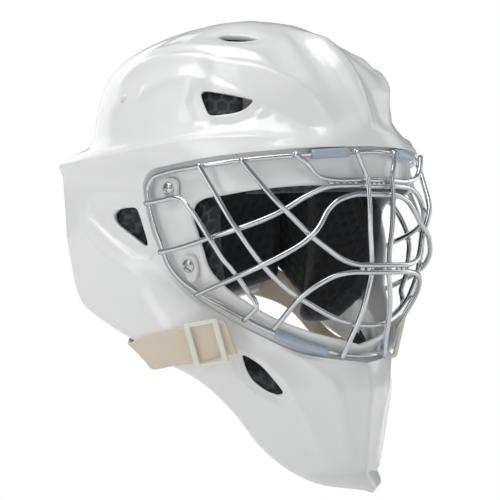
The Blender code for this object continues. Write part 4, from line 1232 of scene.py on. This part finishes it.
# The crown pad follows the dome above and is flat below, with a rolled border.
spokes = np.linspace(0, 2 * np.pi, 96, endpoint=False)
middle = np.array([0.0, -4.0, 60.0])
rows = []
for lean in (1.5, 5, 9, 13, 17, 21, 24.5, 27, 28.5):
    tilt = np.radians(lean)
    heading = np.stack([np.sin(tilt) * np.cos(spokes), np.sin(tilt) * np.sin(spokes),
                        np.cos(tilt) + 0 * spokes], -1)
    rows.append(cast_to_head(heading, middle) - heading * (SHELL_WALL + 1.8))
rim_row = rows[-1]
for turn in np.radians([20, 45, 70, 90]):
    width = 0.90 + 0.10 * np.cos(turn)
    level = rim_row * (width, width, 0) + (0, -4.0 * (1 - width), 0)
    fall = (rim_row[:, 2] - CROWN_RISE)[:, None] * (1 - np.sin(turn)) * (0, 0, 1)
    rows.append(level + fall + (0, 0, CROWN_RISE))
for width in (0.8, 0.5, 0.2, 0.05):
    rows.append(rim_row * (width, width, 0) + (0, -4.0 * (1 - width), CROWN_RISE))
crown = solid_from_rings("crown_cushion", np.array(rows))
dress(crown, black_knit, ["crown_pad"])

# Chin cup: soft foam in a shallow cup between the two chin straps.
turn = -38 + 76 * eased(60)[None, :]
way = eased(24)[:, None]
cup_grid = at(turn + 0 * way, -112 + 22 * way + 0 * turn, 60 + 9 * way + 0 * turn)
cup = cushion("chin_cup_foam", cup_grid, (0, AXIS_Y, -70), 6, 3, 5.0, 0.4)
dress(cup, black_knit, ["chin_cup"])

# %% [markdown]
# ## Rear plate
# The rear plate is the same lacquered composite as the shell, 3 mm thick, with its borders
# rounded over and a low raised panel in the middle. It carries the rear pad and the four
# press studs.

# %% Rear plate
plate_sheet = back_grid(BACK_REACH, -48, -30, 98, 96, 80)
turn = np.degrees(np.arctan2(plate_sheet[..., 0], plate_sheet[..., 1] - AXIS_Y))
panel = (1 - blend_weight(np.abs(turn), 24, 29)) * blend_weight(plate_sheet[..., 2], -26, -18)
panel = panel * (1 - blend_weight(plate_sheet[..., 2], 58, 66))
plate_sheet = plate_sheet + sheet_normals(plate_sheet, CENTRE) * (1.2 * panel)[..., None]
plate = cushion("rear_plate", plate_sheet, CENTRE, 3.0, 1.5)
dress(plate, white_lacquer, ["backplate"], "backplate_body")

# %% [markdown]
# ## The harness
# Webbing is a flat ribbon with round edges. Its surface carries map coordinates in metres, so the
# weave runs along it wherever it bends: fine ribs across the ribbon, and crossed by the lines
# of the warp. The straps to the rear plate run from the shell to the plate.

# %% Woven finishes
def woven(name, dark, light, rib, warp, roughness):
    """Webbing: ribs across and warp lines along, both in the ribbon's own map."""
    material, shader = new_material(name, light, roughness, Sheen_Weight=0.15,
                                    Sheen_Roughness=0.5)
    place = add_node(material, "ShaderNodeTexCoord")
    waves = [add_node(material, "ShaderNodeTexWave",
                      {"bands_direction": way, "Scale": scale, "Distortion": 0.6,
                       "Detail": 1.0}, {"Vector": place.outputs["UV"]})
             for way, scale in (("X", rib), ("Y", warp))]
    both = add_node(material, "ShaderNodeMath", {"operation": "MULTIPLY_ADD", 1: 0.5},
                    {0: waves[0].outputs["Fac"], 2: waves[1].outputs["Fac"]})
    tone = add_node(material, "ShaderNodeMix",
                    {"data_type": "RGBA", 6: linear(dark), 7: linear(light)},
                    {"Factor": both.outputs[0]})
    material.node_tree.links.new(tone.outputs[2], shader.inputs["Base Color"])
    dented(material, shader, both.outputs[0], 0.35, 0.0003)
    return material


beige_elastic = woven("beige_elastic_webbing", "#D3C4A8", "#E9DFCC", 520.0, 400.0, 0.75)
black_webbing = woven("black_webbing", "#0D0E10", "#22242A", 420.0, 340.0, 0.7)


def ribbon(name, upper, lower, thickness):
    """A ribbon between two edge lines: flat faces joined by half circles of the thickness."""
    centre, half = (upper + lower) / 2, (upper - lower) / 2
    along = unit(np.gradient(centre, axis=0))
    facing = unit(np.cross(half, along))
    width = np.linalg.norm(half, axis=1)
    radius = thickness / 2
    flat = np.linspace(1, -1, 13)
    a = np.radians([60, 30, 0, -30, -60])
    across = np.concatenate([flat, -1 - 0 * a, flat[::-1], 1 + 0 * a])
    out = np.concatenate([0 * flat, -np.cos(a), 0 * flat, np.cos(a)])
    lift = np.concatenate([1 + 0 * flat, np.sin(a), -1 + 0 * flat, -np.sin(a)]) * radius
    side_reach = across * (width - radius)[:, None] + out * radius
    rows = (centre[:, None] + side_reach[..., None] * unit(half)[:, None]
            + lift[:, None] * facing[:, None])
    run = np.concatenate([[0], np.cumsum(np.linalg.norm(np.diff(centre, axis=0), axis=1))])
    uv = np.stack([run[:, None] + 0 * side_reach, side_reach], -1).reshape(-1, 2)
    uv = np.concatenate([uv, [(0, 0), (run[-1], 0)]]) * MM
    return solid_from_rings(name, rows, uv)


def band(name, path, across, width, thickness):
    half = unit(np.asarray(across, float) + 0 * path) * width / 2
    return ribbon(name, path + half, path - half, thickness)


# %% Lower straps, studs and buckles
STRAP_THICKNESS = 1.6
LANDING = 2.8
LOWER_STRAP = (
    ([(57, -47), (68, -50), (80, -53.5), (91, -57.5), (100.5, -63)],
     [(-92, 12, -52), (-90, 30, -32), (-88, 50, -14)], [(-60, -8), (-49, -6)]),
    ([(53, -69), (62, -72.5), (71, -75.5), (80, -78), (87.5, -80.5)],
     [(-88, 0, -74), (-86, 18, -58), (-86, 40, -42)], [(-62, -34), (-51, -31)]))


def lower_strap_edges(side, count):
    edges = []
    for outside, inside, landing in LOWER_STRAP:
        outer_part = on_head(*np.array(outside, float).T, STRAP_STANDOFF)
        end = back_point(*np.array(landing, float).T, LANDING)
        edges.append(spline(np.concatenate([outer_part, inside, end]), count) * (side, 1, 1))
    return edges


def stud(name, turn, height):
    centre, normal = back_point(turn, height), outward(back_point, turn, height)
    normal = normal if normal[1] > 0 else -normal
    top = LANDING + STRAP_THICKNESS / 2 + 0.1
    cap = turned(name + "_cap", [(0.3, top + 1.4), (2.4, top + 1.4), (2.9, top + 1.9),
                                 (4.4, top + 1.8), (5.5, top + 1.2), (6.0, top + 0.5),
                                 (5.9, top), (2.0, top), (2.0, 0.3), (0.3, 0.3)], centre, normal)
    dress(cap, plated_steel, [name], "backplate_body")


def rounded_box(half_a, half_b, corner):
    """Outline of a rectangle with quarter circles of radius `corner`, 8 points at each."""
    a = np.linspace(0, np.pi / 2, 8)
    arc = np.stack([np.cos(a), np.sin(a)], -1) * corner
    turns = [np.array([[np.cos(q), -np.sin(q)], [np.sin(q), np.cos(q)]])
             for q in np.pi / 2 * np.arange(4)]
    signs = ((1, 1), (-1, 1), (-1, -1), (1, -1))
    return np.concatenate([arc @ t.T + (s * (half_a - corner), r * (half_b - corner))
                           for t, (s, r) in zip(turns, signs)])


for side, word in SIDES:
    upper, lower = lower_strap_edges(side, 121)
    strap = ribbon("lower_strap_%s_elastic" % word, upper, lower, STRAP_THICKNESS)
    dress(strap, beige_elastic, ["lower_strap_" + word], None)
    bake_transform(strap)
    stud("lower_snap_" + word, side * -54.5, -20)
    # the buckle: a frame that stands on the strap where it passes 64.5 degrees
    upper, lower = lower_strap_edges(side, 201)
    line = (upper + lower) / 2
    turn = np.degrees(np.arctan2(np.abs(line[:, 0]), AXIS_Y - line[:, 1]))
    k = int(np.argmin(np.abs(turn[:90] - 64.5)))
    along = unit(line[k + 8] - line[k - 8])
    normal = unit(np.cross(upper[k] - lower[k], along))
    normal = -normal if normal[0] * side > 0 else normal
    upward = unit(np.cross(along, normal)) * side
    low = STRAP_THICKNESS / 2 + 1.2
    wide, window = rounded_box(12, 15.5, 1.6), rounded_box(8.2, 13.2, 1.0)
    section = [(1, 0.7), (1, 2.3), (0.94, 2.8), (0.8, 3.0), (0.2, 3.0), (0.06, 2.8), (0, 2.3),
               (0, 0.7), (0.06, 0.2), (0.2, 0), (0.8, 0), (0.94, 0.2)]
    rings = []
    for share, rise in section:
        plan = window + share * (wide - window)
        rings.append(line[k] + plan[:, :1] * along + plan[:, 1:] * upward
                     + (low + rise) * normal)
    buckle = solid_from_rings("buckle_%s_frame" % word, np.array(rings), closed=True)
    buckle.data.set_sharp_from_angle(angle=np.radians(40))
    dress(buckle, cream_acetal, ["buckle_" + word], "buckle_%s_body" % word)

    # upper straps and chin straps
    edges = []
    for route, landing in (([(108, 112), (118, 108), (128, 102)], [(-52, 87), (-43, 79)]),
                           ([(112, 97), (121, 92), (130, 87)], [(-58, 73), (-49, 62)])):
        inside_shell = on_head(*np.array(route, float).T, -SHELL_WALL - 2.5)
        on_plate = back_point(*np.array(landing, float).T, LANDING)
        edges.append(spline(np.concatenate([inside_shell, on_plate]), 70) * (side, 1, 1))
    strap = ribbon("upper_strap_%s_webbing" % word, edges[0], edges[1], STRAP_THICKNESS)
    dress(strap, black_webbing, ["upper_strap_" + word], None)
    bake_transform(strap)
    stud("upper_snap_" + word, side * -47, 71.5)
    chin = spline(np.concatenate([
        at(side * np.array([40.0, 54]), np.array([-101.0, -95]), np.array([68.0, 74])),
        on_head(side * np.array([72.0, 82]), np.array([-74.0, -64]), -SHELL_WALL - 3.5)]), 50)
    strap = band("chin_strap_%s_webbing" % word, chin, (0, 0, 1), 14, STRAP_THICKNESS)
    dress(strap, black_webbing, ["chin_strap_" + word])

# %% Crown strap
crown_line = spline([(0, 95.4, 118), (0, 93.0, 108), (0, 92.2, 100), (0, 95, 91), (0, 99.3, 83),
                     (0, 103.2, 76)], 60)
strap = band("crown_strap_webbing", crown_line, (1, 0, 0), 22, STRAP_THICKNESS)
dress(strap, black_webbing, ["crown_strap"], None)
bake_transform(strap)
print("harness: lower, upper and chin straps, crown strap, buckles and studs")
